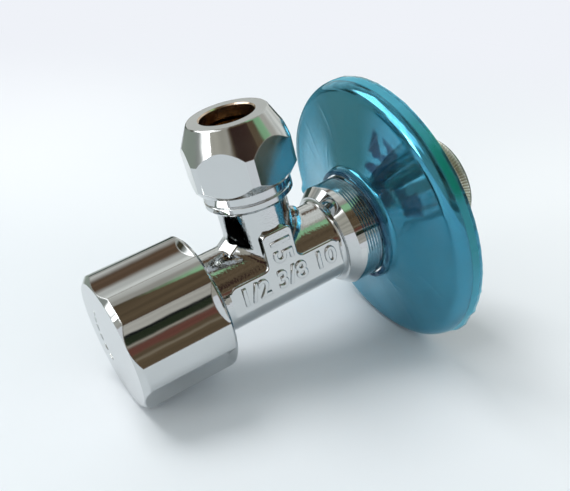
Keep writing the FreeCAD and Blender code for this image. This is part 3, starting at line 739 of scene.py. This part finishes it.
@dataclass(frozen=True)
class ValveBody(SubAssembly):
    """The forged body with its cut threads, raised size numbers and bare inside."""

    inlet: PipeThread = PipeThread("inlet_thread", 10.4775, 9.3155, 1.814, -2.0, 14.0, 1.1)
    outlet: PipeThread = PipeThread("outlet_thread", 8.33, 7.475, 1.337, 18.6, 26.0, 0.6, upright=True)
    bore: float = 6.9
    inside_below_z: float = 7.0
    outlet_bore_from_z: float = 5.0
    turned_from_y: float = -16.2
    turned_from_z: float = 14.7
    web_normal: tuple[float, float, float] = (0.31, -0.52, 0.8)
    web_cosine: float = 0.985
    same_radius: float = 0.02
    inlet_sunk: float = 0.1
    outlet_sunk: float = 0.08
    pad_face: float = 7.5
    foot_number_height: float = 3.5
    bar_number_height: float = 4.0
    number_relief: float = 0.34
    number_sunk: float = 0.05
    number_bevel: float = 0.18
    type_size_per_height: float = 1.38
    foot_number_place: tuple[float, float] = (-28.6, 0.45)
    bar_number_place: tuple[float, float] = (-28.8, 6.5)

    def build(self) -> list[bpy.types.Object]:
        """Make the body's pieces.

        Returns:
            The pieces that ride on the valve body.
        """
        body = self.dressed_body()
        pieces = [body, self.inlet.build(self.finishes.knurled), self.outlet.build(self.finishes.thread),
                  self.number("bar_number", "15", 1, self.bar_number_place, upright=True),
                  self.number("foot_numbers_right", "1/2 3/8 10", 1, self.foot_number_place),
                  self.number("foot_numbers_left", "10 3/8 1/2", -1, self.foot_number_place)]
        for piece in pieces:
            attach(piece, "valve")
        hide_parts("valve_body")
        return pieces

    def dressed_body(self) -> bpy.types.Object:
        """Copy the body with its two thread cylinders sunk under the threads.

        Returns:
            The body without its thread forms.
        """
        points, faces, normals = welded(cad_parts["valve_body"])
        x, y, z = points.T
        across = np.hypot(x, z)
        inlet = (abs(across - self.inlet.major) < self.same_radius) & (y > self.inlet.start - 0.01)
        points[inlet, 0] *= (self.inlet.minor - self.inlet_sunk) / across[inlet]
        points[inlet, 2] *= (self.inlet.minor - self.inlet_sunk) / across[inlet]
        round_outlet = np.hypot(x, y - OUTLET_Y)
        outlet = (abs(round_outlet - self.outlet.major) < self.same_radius) & (z > self.outlet.start)
        share = (self.outlet.minor - self.outlet_sunk) / round_outlet[outlet]
        points[outlet, 0] *= share
        points[outlet, 1] = OUTLET_Y + (points[outlet, 1] - OUTLET_Y) * share
        zones = self.zones(points[faces].mean(1), normals.mean(1))
        materials = [self.finishes.forged, self.finishes.turned, self.finishes.brass]
        return dressed("valve_body_dressed", points, faces, normals, materials, zones)

    def zones(self, centre: Array, normal: Array) -> Array:
        """Choose each face's finish.

        A face is inside when it points towards the axis it lies round, or lies within a bore. The two sloping
        faces of the web are plain, as turned ones are.

        Args:
            centre: the faces' centres.
            normal: their normals.

        Returns:
            0 for forged, 1 for turned or plain and 2 for bare brass inside.
        """
        x, y, z = centre.T
        across = np.hypot(x, z)
        round_outlet = np.hypot(x, y - OUTLET_Y)
        facing = (normal[:, 0] * x + normal[:, 2] * z) / np.maximum(across, 1e-6)
        facing_out = (normal[:, 0] * x + normal[:, 1] * (y - OUTLET_Y)) / np.maximum(round_outlet, 1e-6)
        inside = (across < self.bore) & (facing < 0.3) & (z < self.inside_below_z)
        inside |= (round_outlet < self.bore) & (facing_out < 0.3) & (z > self.outlet_bore_from_z)
        either_side = np.stack([abs(normal[:, 0]), normal[:, 1], normal[:, 2]], 1)
        web = either_side @ np.array(self.web_normal) > self.web_cosine
        turned = (y > self.turned_from_y) | (z > self.turned_from_z) | web
        return np.where(inside, 2, np.where(turned, 1, 0))

    def number(self, name: str, text: str, side: int, place: tuple[float, float],
               upright: bool = False) -> bpy.types.Object:
        """Raise figures on a forged pad.

        Args:
            name: the piece's name.
            text: figures only.
            side: +1 for the pad on +X, -1 for the one on -X.
            place: the middle of the text, as its Y and its Z.
            upright: whether the text runs down the bar.

        Returns:
            The mesh object.
        """
        curve = bpy.data.curves.new(name, "FONT")
        height = self.bar_number_height if upright else self.foot_number_height
        depth = self.number_relief / 2 + self.number_sunk - self.number_bevel
        settings = {"body": text, "size": height * self.type_size_per_height * MM, "extrude": depth * MM,
                    "bevel_depth": self.number_bevel * MM, "bevel_resolution": 2, "offset": -0.01 * MM,
                    "resolution_u": 4, "align_x": "CENTER", "align_y": "CENTER", "space_character": 1.06}
        for field, value in settings.items():
            setattr(curve, field, value)
        holder = linked(name + "_curve", curve)
        bpy.context.view_layer.update()
        mesh = bpy.data.meshes.new_from_object(holder.evaluated_get(bpy.context.evaluated_depsgraph_get()))
        bpy.data.objects.remove(holder)
        right, up, out = Vector((0, side, 0)), Vector((0, 0, 1)), Vector((side, 0, 0))
        if upright:
            right, up = Vector((0, 0, -1)), Vector((0, side, 0))
        turn = Matrix((right, up, out)).transposed().to_4x4()
        middle = self.pad_face + self.number_relief / 2 - self.number_sunk
        mesh.transform(Matrix.Translation(Vector((side * middle, *place)) * MM) @ turn)
        mesh.name = name
        mesh.materials.clear()
        mesh.materials.append(self.finishes.forged)
        return linked(name, mesh)


# Wall plate film

def hump(angle: Array, middle: float, width: float) -> Array:
    """A bell of height one round the axis.

    Args:
        angle: angles in radians.
        middle: where it is highest, in radians.
        width: how wide it is, in radians.

    Returns:
        Its heights.
    """
    return np.exp(-(np.angle(np.exp(1j * (angle - middle))) / width) ** 2)


@dataclass(frozen=True)
class Folds:
    """A group of narrow folds. Its middle and length are shares of the film's line from skirt to hub."""

    count: int
    middle: float
    length: float
    lowest: float
    highest: float
    lean: float


@dataclass(frozen=True)
class Swell:
    """A place where the film stands off, at a direction in degrees and at shares of the line."""

    height: float
    degrees: float
    width: float
    middle: float
    length: float


@dataclass(frozen=True)
class PlateFilm(SubAssembly):
    """The torn blue film over the pressed wall plate, as a thin wrinkled closed shell."""

    plate_r: float = 27.7
    skirt: float = 1.7
    skirt_from: float = 0.1
    skirt_to: float = 1.3
    roll: float = 2.8
    slope: float = 11.0
    dish: float = 0.35
    hub_outer: float = 11.35
    hub_round: float = 1.3
    lip: float = 0.35
    lip_cover: float = 0.66
    gap: float = 0.06
    thickness: float = 0.07
    box_r: float = 28.0
    ripple: float = 0.015
    ripple_round: tuple[int, int] = (7, 11)
    ripple_along: tuple[float, float] = (9.0, -14.0)
    fold_width: tuple[float, float] = (0.013, 0.028)
    pleats_and_creases: tuple[Folds, ...] = (
        Folds(40, 0.05, 0.05, 0.03, 0.14, 0.5), Folds(50, 0.02, 0.05, 0.03, 0.14, 0.3),
        Folds(10, 0.45, 0.16, 0.02, 0.06, 0.5), Folds(22, 0.76, 0.07, 0.04, 0.12, 1.2))
    bubble: Swell = Swell(0.5, 160.0, 0.45, 0.21, 0.1)
    tab: Swell = Swell(0.7, -177.0, 0.05, 0.2, 0.05)
    calm: Swell = Swell(0.8, 62.0, 0.75, 0.16, 0.16)
    ruffle: Swell = Swell(0.6, -52.0, 0.3, 0.0, 0.05)
    ruffle_round: tuple[int, int] = (27, 11)
    hub_fold_round: int = 19
    hub_folds: tuple[Swell, ...] = (Swell(0.75, -48.0, 0.75, 1.0, 0.035), Swell(0.3, 95.0, 0.5, 1.0, 0.035))
    seed: int = 11
    steps_round: int = 660
    steps_across: int = 62
    roll_points: int = 18
    face_points: int = 30
    hub_points: int = 12

    def line(self) -> tuple[Array, Array]:
        """Draw the plate's outer line from skirt to hub.

        The line is a straight skirt, an arc of the roll's radius, a slope a little dished, an arc into the hub
        and the hub's lip.

        Returns:
            Points as radius and distance from the wall, and outward normals.
        """
        slope = math.radians(self.slope)
        turn = math.pi / 2 - slope
        arc = np.linspace(0, turn, self.roll_points)
        roll_normal = np.stack([np.cos(arc), np.sin(arc)], 1)
        roll = np.array([self.plate_r - self.roll, self.skirt]) + self.roll * roll_normal
        skirt = np.array([[self.plate_r, self.skirt_from], [self.plate_r, self.skirt_to]])
        hub_start_r = self.hub_outer + self.hub_round * (1 - math.sin(slope))
        share = np.linspace(0, 1, self.face_points)[1:]
        face_r = roll[-1, 0] + (hub_start_r - roll[-1, 0]) * share
        face_out = roll[-1, 1] + (roll[-1, 0] - face_r) * math.tan(slope) - self.dish * np.sin(math.pi * share)
        face_normal = np.tile([math.sin(slope), math.cos(slope)], (len(share), 1))
        angle = slope + np.linspace(0, turn, self.hub_points)[1:]
        hub_normal = np.stack([np.sin(angle), np.cos(angle)], 1)
        centre = np.array([self.hub_outer + self.hub_round, face_out[-1] + self.hub_round * math.cos(slope)])
        hub = centre - self.hub_round * hub_normal
        lip = hub[-1] + np.array([[0.0, self.lip], [-self.lip_cover, self.lip]])
        points = np.concatenate([skirt, roll, np.stack([face_r, face_out], 1), hub, lip])
        normals = np.concatenate([[[1.0, 0.0], [1.0, 0.0]], roll_normal, face_normal, hub_normal,
                                  [[0.8, 0.6], [0.0, 1.0]]])
        return points, normals

    def build(self) -> bpy.types.Object:
        """Make the film.

        Returns:
            The mesh object, riding on the wall plate.
        """
        points, normals = self.line()
        length = np.concatenate([[0], np.cumsum(np.hypot(*np.diff(points, axis=0).T))])
        at = np.linspace(0, length[-1], self.steps_across)
        place, outward = (np.stack([np.interp(at, length, column) for column in table.T], 1)
                          for table in (points, normals))
        outward /= np.linalg.norm(outward, axis=1)[:, None]
        angle = np.arange(self.steps_round) * 2 * math.pi / self.steps_round
        lift = self.lift(angle[None, :], at[:, None] / length[-1])
        limit = self.box_r / np.maximum(abs(np.cos(angle)), abs(np.sin(angle)))[None, :]
        sides = []
        for height in (lift + self.gap, lift + self.gap + self.thickness):
            radius = np.minimum(place[:, :1] + outward[:, :1] * height, limit)
            out = place[:, 1:] + outward[:, 1:] * height
            sides.append(np.stack([radius * np.cos(angle), -out, radius * np.sin(angle)], -1))
        rows = np.concatenate([sides[0], sides[1][::-1], sides[0][:1]])
        faces = grid_faces(len(rows), self.steps_round).tolist()
        film = mesh_object("film_wrinkled", rows.reshape(-1, 3), faces, self.finishes.film, 80.0)
        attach(film, "wall_plate")
        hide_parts("protective_film")
        return film

    def lift(self, angle: Array, share: Array) -> Array:
        """Work out how far the film stands off the plate.

        It adds a gentle ripple of two slanting waves, narrow pleats where the film is gathered over the roll
        and skirt, long low creases on the sloping face, a loose bubble on the left, a small tab there and a
        crumpled lip low down. High up on the roll it lies nearly smooth. Two folds stand along the collar at
        the hub's lip.

        Args:
            angle: angles round the plate.
            share: shares of the line from skirt to hub.

        Returns:
            The heights in millimetres.
        """
        generator = np.random.default_rng(self.seed)
        waves = zip(self.ripple_round, self.ripple_along)
        first, second = (turns * angle + slant * share for turns, slant in waves)
        lift = self.ripple * (1 + np.sin(first) * np.sin(second + 1.0))
        calm = 1 - self.swelling(self.calm, angle, share)
        for group in self.pleats_and_creases:
            for _ in range(group.count):
                turn, width = generator.uniform(-math.pi, math.pi), generator.uniform(*self.fold_width)
                height = generator.uniform(group.lowest, group.highest)
                slant = generator.uniform(-group.lean, group.lean)
                along = np.exp(-((share - group.middle) / group.length) ** 2)
                lift = lift + height * calm * hump(angle - slant * (share - group.middle), turn, width) * along
        lift = lift + self.swelling(self.bubble, angle, share) + self.swelling(self.tab, angle, share)
        many, few = self.ruffle_round
        uneven = 0.5 + 0.5 * np.sin(many * angle + 1.8 * np.sin(few * angle))
        lift = lift + uneven * self.swelling(self.ruffle, angle, share)
        fold = sum(self.swelling(fold, angle, share) for fold in self.hub_folds)
        return lift + fold * (1 + 0.15 * np.sin(self.hub_fold_round * angle))

    @staticmethod
    def swelling(swell: Swell, angle: Array, share: Array) -> Array:
        """Work out the heights of one swell: a bell round the axis times a bell along the line.

        Args:
            swell: the swell.
            angle: angles round the plate.
            share: shares of the line.

        Returns:
            The heights.
        """
        along = np.exp(-((share - swell.middle) / swell.length) ** 2)
        return swell.height * hump(angle, math.radians(swell.degrees), swell.width) * along


# Pieces that keep their CAD mesh

@dataclass(frozen=True)
class CadPieces(SubAssembly):
    """The CAD nodes that are shown as they are, with their finishes."""

    PLAIN = {"bonnet": "brass", "spindle": "brass", "plunger": "brass", "washer_screw": "brass",
             "olive": "brass", "bonnet_gasket": "fibre", "thrust_ring": "ring", "spindle_seal_inner": "rubber",
             "spindle_seal_outer": "rubber", "seat_washer": "rubber", "retaining_clip": "steel",
             "grip_ring": "steel", "knob_core": "core", "escutcheon": "plate"}
    NUT_REACH = 6.9

    def build(self) -> None:
        """Give each node its finish, and the nut's hollow a second one."""
        for node, finish in self.PLAIN.items():
            self.dress(node, [getattr(self.finishes, finish)])
        self.dress("compression_nut", [self.finishes.nut, self.finishes.bored])
        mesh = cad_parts["compression_nut"].data
        centre, normal = (read(mesh.polygons, name, 3) for name in ("center", "normal"))
        inside = in_hollow(centre / MM, normal, self.NUT_REACH, 2, OUTLET_Y)
        mesh.polygons.foreach_set("material_index", inside.astype(np.int32))

    @staticmethod
    def dress(node: str, materials: list[bpy.types.Material]) -> None:
        """Replace a node's materials.

        Args:
            node: the node's name.
            materials: its new ones.
        """
        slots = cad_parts[node].data.materials
        slots.clear()
        for material in materials:
            slots.append(material)
        LOG.info("%s takes %s", node, ", ".join(material.name for material in materials))


# Knob

@dataclass(frozen=True)
class Knob(SubAssembly):
    """The knob's shell, with an arc of short raised dashes on its face, where the real one has its mark.

    The face is let in by the dashes' relief, so that they don't make the knob longer.
    """

    front_y: float = -62.25
    relief: float = 0.14
    sunk: float = 0.05
    hollow_reach: float = 11.4
    hollow_front_y: float = -50.0
    arc_r: float = 7.0
    count: int = 6
    first_degrees: float = 140.0
    step_degrees: float = 17.0
    length: float = 1.5
    width: float = 0.5
    steps: int = 9

    def build(self) -> list[bpy.types.Object]:
        """Make the shell and its dashes.

        Returns:
            The pieces, riding on the knob.
        """
        pieces = [self.shell(), self.marks()]
        for piece in pieces:
            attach(piece, "knob")
        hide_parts("knob_shell")
        return pieces

    def shell(self) -> bpy.types.Object:
        """Copy the knob's shell with its face let in. Its inside is bare plastic.

        Returns:
            The mesh object.
        """
        points, faces, normals = welded(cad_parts["knob_shell"])
        points[:, 1] = np.maximum(points[:, 1], self.front_y + self.relief)
        centre, normal = points[faces].mean(1), normals.mean(1)
        floor = (np.hypot(centre[:, 0], centre[:, 2]) < self.hollow_reach) & (normal[:, 1] > 0.9)
        floor &= centre[:, 1] < self.hollow_front_y
        inside = in_hollow(centre, normal, self.hollow_reach, 1, 0.0) | floor
        materials = [self.finishes.knob, self.finishes.core]
        return dressed("knob_shell_dressed", points, faces, normals, materials, inside)

    def marks(self) -> bpy.types.Object:
        """Make the dashes as one piece.

        Returns:
            The mesh object.
        """
        blocks = [self.dash(math.radians(self.first_degrees + self.step_degrees * index))
                  for index in range(self.count)]
        faces = [quad for index in range(self.count) for quad in self.dash_faces(index * len(blocks[0]))]
        return mesh_object("knob_face_marks", np.concatenate(blocks), faces, self.finishes.knob, 50.0)

    def dash(self, turn: float) -> Array:
        """Place one dash's points.

        Its crest is the relief times the root of two fourth-power bells, so the ends and sides are rounded.

        Args:
            turn: the dash's angle round the face.

        Returns:
            The points of its crest and then of its base.
        """
        spread = np.linspace(-1, 1, self.steps)
        u, v = np.meshgrid(spread, spread, indexing="ij")
        crest = ((1 - u ** 4) * (1 - v ** 4)) ** 0.5
        reach, swing = self.arc_r + v * self.width / 2, turn + u * self.length / 2 / self.arc_r
        x, z = reach * np.cos(swing), reach * np.sin(swing)
        face_y = self.front_y + self.relief
        return np.concatenate([np.stack([x, y, z], -1).reshape(-1, 3)
                               for y in (face_y - self.relief * crest, np.full(u.shape, face_y + self.sunk))])

    def dash_faces(self, first: int) -> list:
        """Make the faces of one closed dash: crest, base and the wall between.

        Args:
            first: the index of its first point.

        Returns:
            The quads.
        """
        count = self.steps
        crest = grid_faces(count, count, start=first, wrap=False)
        base = grid_faces(count, count, start=first + count * count, wrap=False)[:, ::-1]
        grid = np.arange(count * count).reshape(count, count) + first
        edge = np.concatenate([grid[0, :-1], grid[:-1, -1], grid[-1, :0:-1], grid[:0:-1, 0]])
        after = np.roll(edge, -1)
        wall = np.stack([edge, after, after + count * count, edge + count * count], -1)
        return np.concatenate([crest, base, wall]).tolist()


# Studio

@dataclass(frozen=True)
class RoomPatch:
    """One soft-edged part of the room that the chrome reflects, by azimuth and elevation in degrees."""

    colour: str
    azimuth: float
    half_width: float
    elevation: float
    half_height: float
    soft: float = 4.0
    strength: float = 1.0


@dataclass(frozen=True)
class Lamp:
    """A rectangular light facing the valve, at a direction in degrees."""

    name: str
    azimuth: float
    elevation: float
    away_m: float
    size_m: tuple[float, float]
    watts: float


def direction(azimuth: float, elevation: float) -> Vector:
    """The unit vector towards an azimuth and elevation in degrees. Azimuth 0 is -Y and 90 is +X."""
    turn, rise = math.radians(azimuth), math.radians(elevation)
    return Vector((math.sin(turn) * math.cos(rise), -math.cos(turn) * math.cos(rise), math.sin(rise)))


@dataclass(frozen=True)
class Studio:
    """Floor, light, surroundings and the camera that stands where the photograph's did."""

    rim_r: float = 28.0
    knob_flat: float = 12.55
    knob_edge_y: float = -61.1
    lean_degrees: float = 81.0
    floor_m: float = 5.0
    camera_mm: tuple[float, float, float] = (138.4156, -86.0858, 78.7610)
    lens_mm: float = 55.634
    right: tuple[float, float, float] = (0.49951, 0.83452, -0.2325)
    up: tuple[float, float, float] = (-0.29062, 0.41425, 0.86252)
    back: tuple[float, float, float] = (0.8161, -0.36327, 0.44945)
    window: Lamp = Lamp("window", -1, 27, 0.9, (0.2, 0.25), 1.6)
    soft_box: Lamp = Lamp("soft_box", -75, 74, 1.2, (0.55, 0.55), 7.4)
    light_colour: tuple[float, float, float] = (1.0, 0.99, 0.965)
    lit_y_mm: float = -30.0
    white: str = "eff2f8"
    white_beyond_m: tuple[float, float] = (0.075, 0.26)
    # Painted shade: a grey that mirrors see on the paper on the far side of the valve.
    shade: str = "9ca69c"
    painted_shade_x_m: tuple[float, float] = (-0.08, -0.045)
    painted_shade_y_m: tuple[float, float] = (-0.05, -0.02)
    # Painted reflection: a dark table that mirrors see on the paper further out.
    table: str = "56665c"
    painted_table_slope: float = -0.6
    painted_table_from_m: tuple[float, float] = (0.03, 0.1)
    paper: str = "f4f6fb"
    paper_grey: str = "e8ecf2"
    soft: str = "f2f9f7"
    soft_strength: float = 0.68
    room: str = "c9c6bd"
    room_strength: float = 0.88
    streaks: tuple[float, float, float] = (1.6, 1.6, 15.0)
    streak_levels: tuple[float, float] = (0.74, 1.16)
    patches: tuple[RoomPatch, ...] = tuple(RoomPatch(*row) for row in (
        ("e9ebe6", -135, 48, 30, 48, 10, 1.15),
        ("b6bbb6", -40, 36, 20, 30, 8),
        ("c1beb2", 30, 22, 28, 26, 6),
        ("6f5a48", -112, 16, 48, 8, 4),
        ("6f5f4a", 100, 42, 50, 40, 5),
        ("84564b", 95, 36, 14, 2.6, 1.2),
        ("978b78", 98, 40, 20.6, 0.8, 0.9),
        ("37402f", 95, 44, 6.4, 3.2, 1.0),
        ("b3aa9e", 98, 40, 10.4, 0.6, 0.6),
        ("a3d9a9", 146, 10, 42, 30, 4),
        ("44302a", 88, 24, 34, 6, 2.5),
        ("14181a", 100, 60, 3.2, 1.0, 0.6),
        ("4a4636", -60, 8, 24, 5, 2.5),
        ("ffffff", -14, 10, 29, 7, 3, 3.4),
        ("ffffff", -25, 40, 48, 14, 3, 4.2),
        ("ffffff", 21, 13, 48, 9, 3, 2.6),
    ))

    def build(self) -> None:
        """Make the floor, the world, the lights and the camera.

        The window, low on the knob's side, streaks the chrome. The soft box hangs high and lights the paper.
        """
        self.make_floor()
        self.make_world()
        self.area_light(self.window)
        soft_box = self.area_light(self.soft_box)
        soft_box.visible_glossy = False
        soft_box.visible_transmission = False
        self.make_camera()

    def floor_normal(self) -> Vector:
        """Lean the floor so that the valve rests on the plate's rim and on one flat of the knob.

        Returns:
            The floor's normal.
        """
        slope = math.atan2(self.rim_r - self.knob_flat, -self.knob_edge_y)
        lean = math.radians(self.lean_degrees)
        return Vector((math.cos(lean) * math.cos(slope), math.sin(slope), math.sin(lean) * math.cos(slope)))

    def make_floor(self) -> None:
        """Lay the floor under the rim and the knob."""
        normal = self.floor_normal()
        lean = math.radians(self.lean_degrees)
        contact = Vector((-math.cos(lean), 0, -math.sin(lean))) * self.rim_r * MM
        across = normal.cross(Vector((0, 1, 0))).normalized() * self.floor_m / 2
        along = across.cross(normal).normalized() * self.floor_m / 2
        mesh = bpy.data.meshes.new("floor")
        mesh.from_pydata([contact - across - along, contact + across - along, contact + across + along,
                          contact - across + along], [], [(0, 1, 2, 3)])
        if mesh.polygons[0].normal.dot(normal) < 0:
            mesh.flip_normals()
        mesh.materials.append(self.floor_material())
        linked("floor", mesh)

    def floor_material(self) -> bpy.types.Material:
        """Make matt white paper.

        It fades to plain white far away and is clear from below, so that low views see through it. In mirrors
        it shows a painted shade on the far side of the valve, towards the knob, and further out a painted
        reflection of a dark table.

        Returns:
            The material.
        """
        paper = Surface("white_paper")
        uneven = paper.add("TexNoise", {"Vector": paper.place, "Scale": 5.0, "Detail": 1.0})
        colour = paper.blotched(uneven, 0.35, 0.65, self.paper, self.paper_grey)
        seen = paper.add("BsdfPrincipled", {"Base Color": colour, "Roughness": 0.7, "Specular IOR Level": 0.2})
        rays = paper.add("LightPath").node.outputs
        mirrored = rays["Is Glossy Ray"]
        looks = paper.add("Math.MAXIMUM", (mirrored, rays["Is Transmission Ray"]))
        looks = paper.add("Math.MAXIMUM", (rays["Is Camera Ray"], looks))
        x, y, _ = paper.add("SeparateXYZ", (paper.place,)).node.outputs
        distance = paper.add("VectorMath.LENGTH", (paper.place,), 1)
        far = paper.add("MapRange", (distance, *self.white_beyond_m))
        # Painted shade, seen only in mirrors, on the paper on the far side of the valve, towards the knob.
        painted_shade_area = paper.add("Math.MULTIPLY", (paper.add("MapRange", (x, *self.painted_shade_x_m, 1.0, 0.0)),
                                             paper.add("MapRange", (y, *self.painted_shade_y_m, 1.0, 0.0))))
        # Painted reflection of a dark table, seen only in mirrors, further out on the paper.
        painted_table_area = paper.add("Math.MULTIPLY_ADD", (x, self.painted_table_slope, y))
        painted_table_area = paper.add("MapRange", (painted_table_area, *self.painted_table_from_m))
        # The plain white far away, then the painted shade and the painted table reflection, which only mirrors
        # see.
        for place, ray, code, strength in ((far, looks, self.white, 1.0), (painted_shade_area, mirrored, self.shade, 1.0),
                                           (painted_table_area, mirrored, self.table, 0.6)):
            glow = paper.add("Emission", (linear(code), strength))
            seen = paper.add("MixShader", (paper.add("Math.MULTIPLY", (place, ray)), seen, glow))
        behind = paper.add("NewGeometry", out="Backfacing")
        return paper.finish(paper.add("MixShader", (behind, seen, paper.add("BsdfTransparent"))))

    def make_world(self) -> None:
        """Make plain white for the camera, soft white light, and a streaked room for the chrome to mirror."""
        world = bpy.data.worlds.new("studio")
        bpy.context.scene.world = world
        nodes = Nodes(world)
        way = nodes.add("TexCoord", out="Generated")
        x, y, z = nodes.add("SeparateXYZ", (way,)).node.outputs
        level = nodes.add("VectorMath.NORMALIZE", (nodes.add("CombineXYZ", (x, y, 0.0)),))
        elevation = nodes.add("Math.ARCSINE", (z,))
        colour = linear(self.room)
        for patch in self.patches:
            shade = tuple(c * patch.strength for c in linear(patch.colour)[:3]) + (1.0,)
            mask = self.patch_mask(nodes, level, elevation, patch)
            colour = nodes.add("Mix", {0: mask, 6: colour, 7: shade}, 2)
        stretched = nodes.add("VectorMath.MULTIPLY", (way, self.streaks))
        streaks = nodes.add("TexNoise", {"Vector": stretched, "Scale": 1.0, "Detail": 2.5})
        shade = nodes.add("MapRange", (streaks, 0.3, 0.7, *self.streak_levels))
        colour = nodes.add("VectorMath.SCALE", {0: colour, "Scale": shade})
        rays = nodes.add("LightPath").node.outputs
        mirror = nodes.add("Math.MAXIMUM", (rays["Is Glossy Ray"], rays["Is Transmission Ray"]))
        room, soft, white = (nodes.add("Background", pair) for pair in (
            (colour, self.room_strength), (linear(self.soft), self.soft_strength), (linear(self.white), 1.0)))
        lit = nodes.add("MixShader", (mirror, soft, room))
        nodes.add("OutputWorld", (nodes.add("MixShader", (rays["Is Camera Ray"], lit, white)),))

    @staticmethod
    def patch_mask(nodes: Nodes, level: Socket, elevation: Socket, patch: RoomPatch) -> Socket:
        """One where a direction lies in the patch, zero outside, with a soft edge.

        The azimuth test compares the cosine of the angle to the patch's middle, so it wraps by itself.

        Args:
            nodes: the world's nodes.
            level: the direction without its height, of length one.
            elevation: the direction's elevation in radians.
            patch: the patch.

        Returns:
            The level's socket.
        """
        cosine = nodes.add("VectorMath.DOT_PRODUCT", (level, direction(patch.azimuth, 0.0)), 1)
        wide = math.cos(math.radians(patch.half_width + patch.soft))
        narrow = math.cos(math.radians(max(patch.half_width - patch.soft, 0.0)))
        off = nodes.add("Math.SUBTRACT", (elevation, math.radians(patch.elevation)))
        off = nodes.add("Math.ABSOLUTE", (off,))
        edge, soft = math.radians(patch.half_height), math.radians(patch.soft)
        above = nodes.add("MapRange", (off, edge - soft, edge + soft, 1.0, 0.0))
        return nodes.add("Math.MULTIPLY", (nodes.add("MapRange", (cosine, wide, narrow)), above))

    def area_light(self, lamp: Lamp) -> bpy.types.Object:
        """Hang one light.

        Args:
            lamp: its sizes and place.

        Returns:
            The light's object.
        """
        data = bpy.data.lights.new(lamp.name, "AREA")
        data.shape = "RECTANGLE"
        data.size, data.size_y = lamp.size_m
        data.energy = lamp.watts
        data.color = self.light_colour
        back = direction(lamp.azimuth, lamp.elevation)
        made = linked(lamp.name, data)
        made.location = Vector((0, self.lit_y_mm * MM, 0)) + back * lamp.away_m
        made.rotation_mode = "QUATERNION"
        made.rotation_quaternion = back.to_track_quat("Z", "Y")
        return made

    def make_camera(self) -> None:
        """Stand the camera where the photograph's was."""
        data = bpy.data.cameras.new("camera")
        data.sensor_width = SENSOR_MM
        data.sensor_fit = "HORIZONTAL"
        data.lens = self.lens_mm
        data.clip_start, data.clip_end = 0.005, 50.0
        camera = linked("camera", data)
        turn = Matrix((self.right, self.up, self.back)).transposed().to_4x4()
        camera.matrix_world = Matrix.Translation(Vector(self.camera_mm) * MM) @ turn
        bpy.context.scene.camera = camera


def main() -> None:
    """Build every sub-assembly in order and log each piece."""
    logging.basicConfig(level=logging.INFO, format="%(name)s: %(message)s")
    bpy.context.scene.view_settings.view_transform = "Standard"
    Studio().build()
    finishes = Finishes()
    for piece in [*ValveBody(finishes).build(), PlateFilm(finishes).build(), *Knob(finishes).build()]:
        LOG.info("%s has %d faces", piece.name, len(piece.data.polygons))
    CadPieces(finishes).build()


if __name__ == "__main__":
    main()
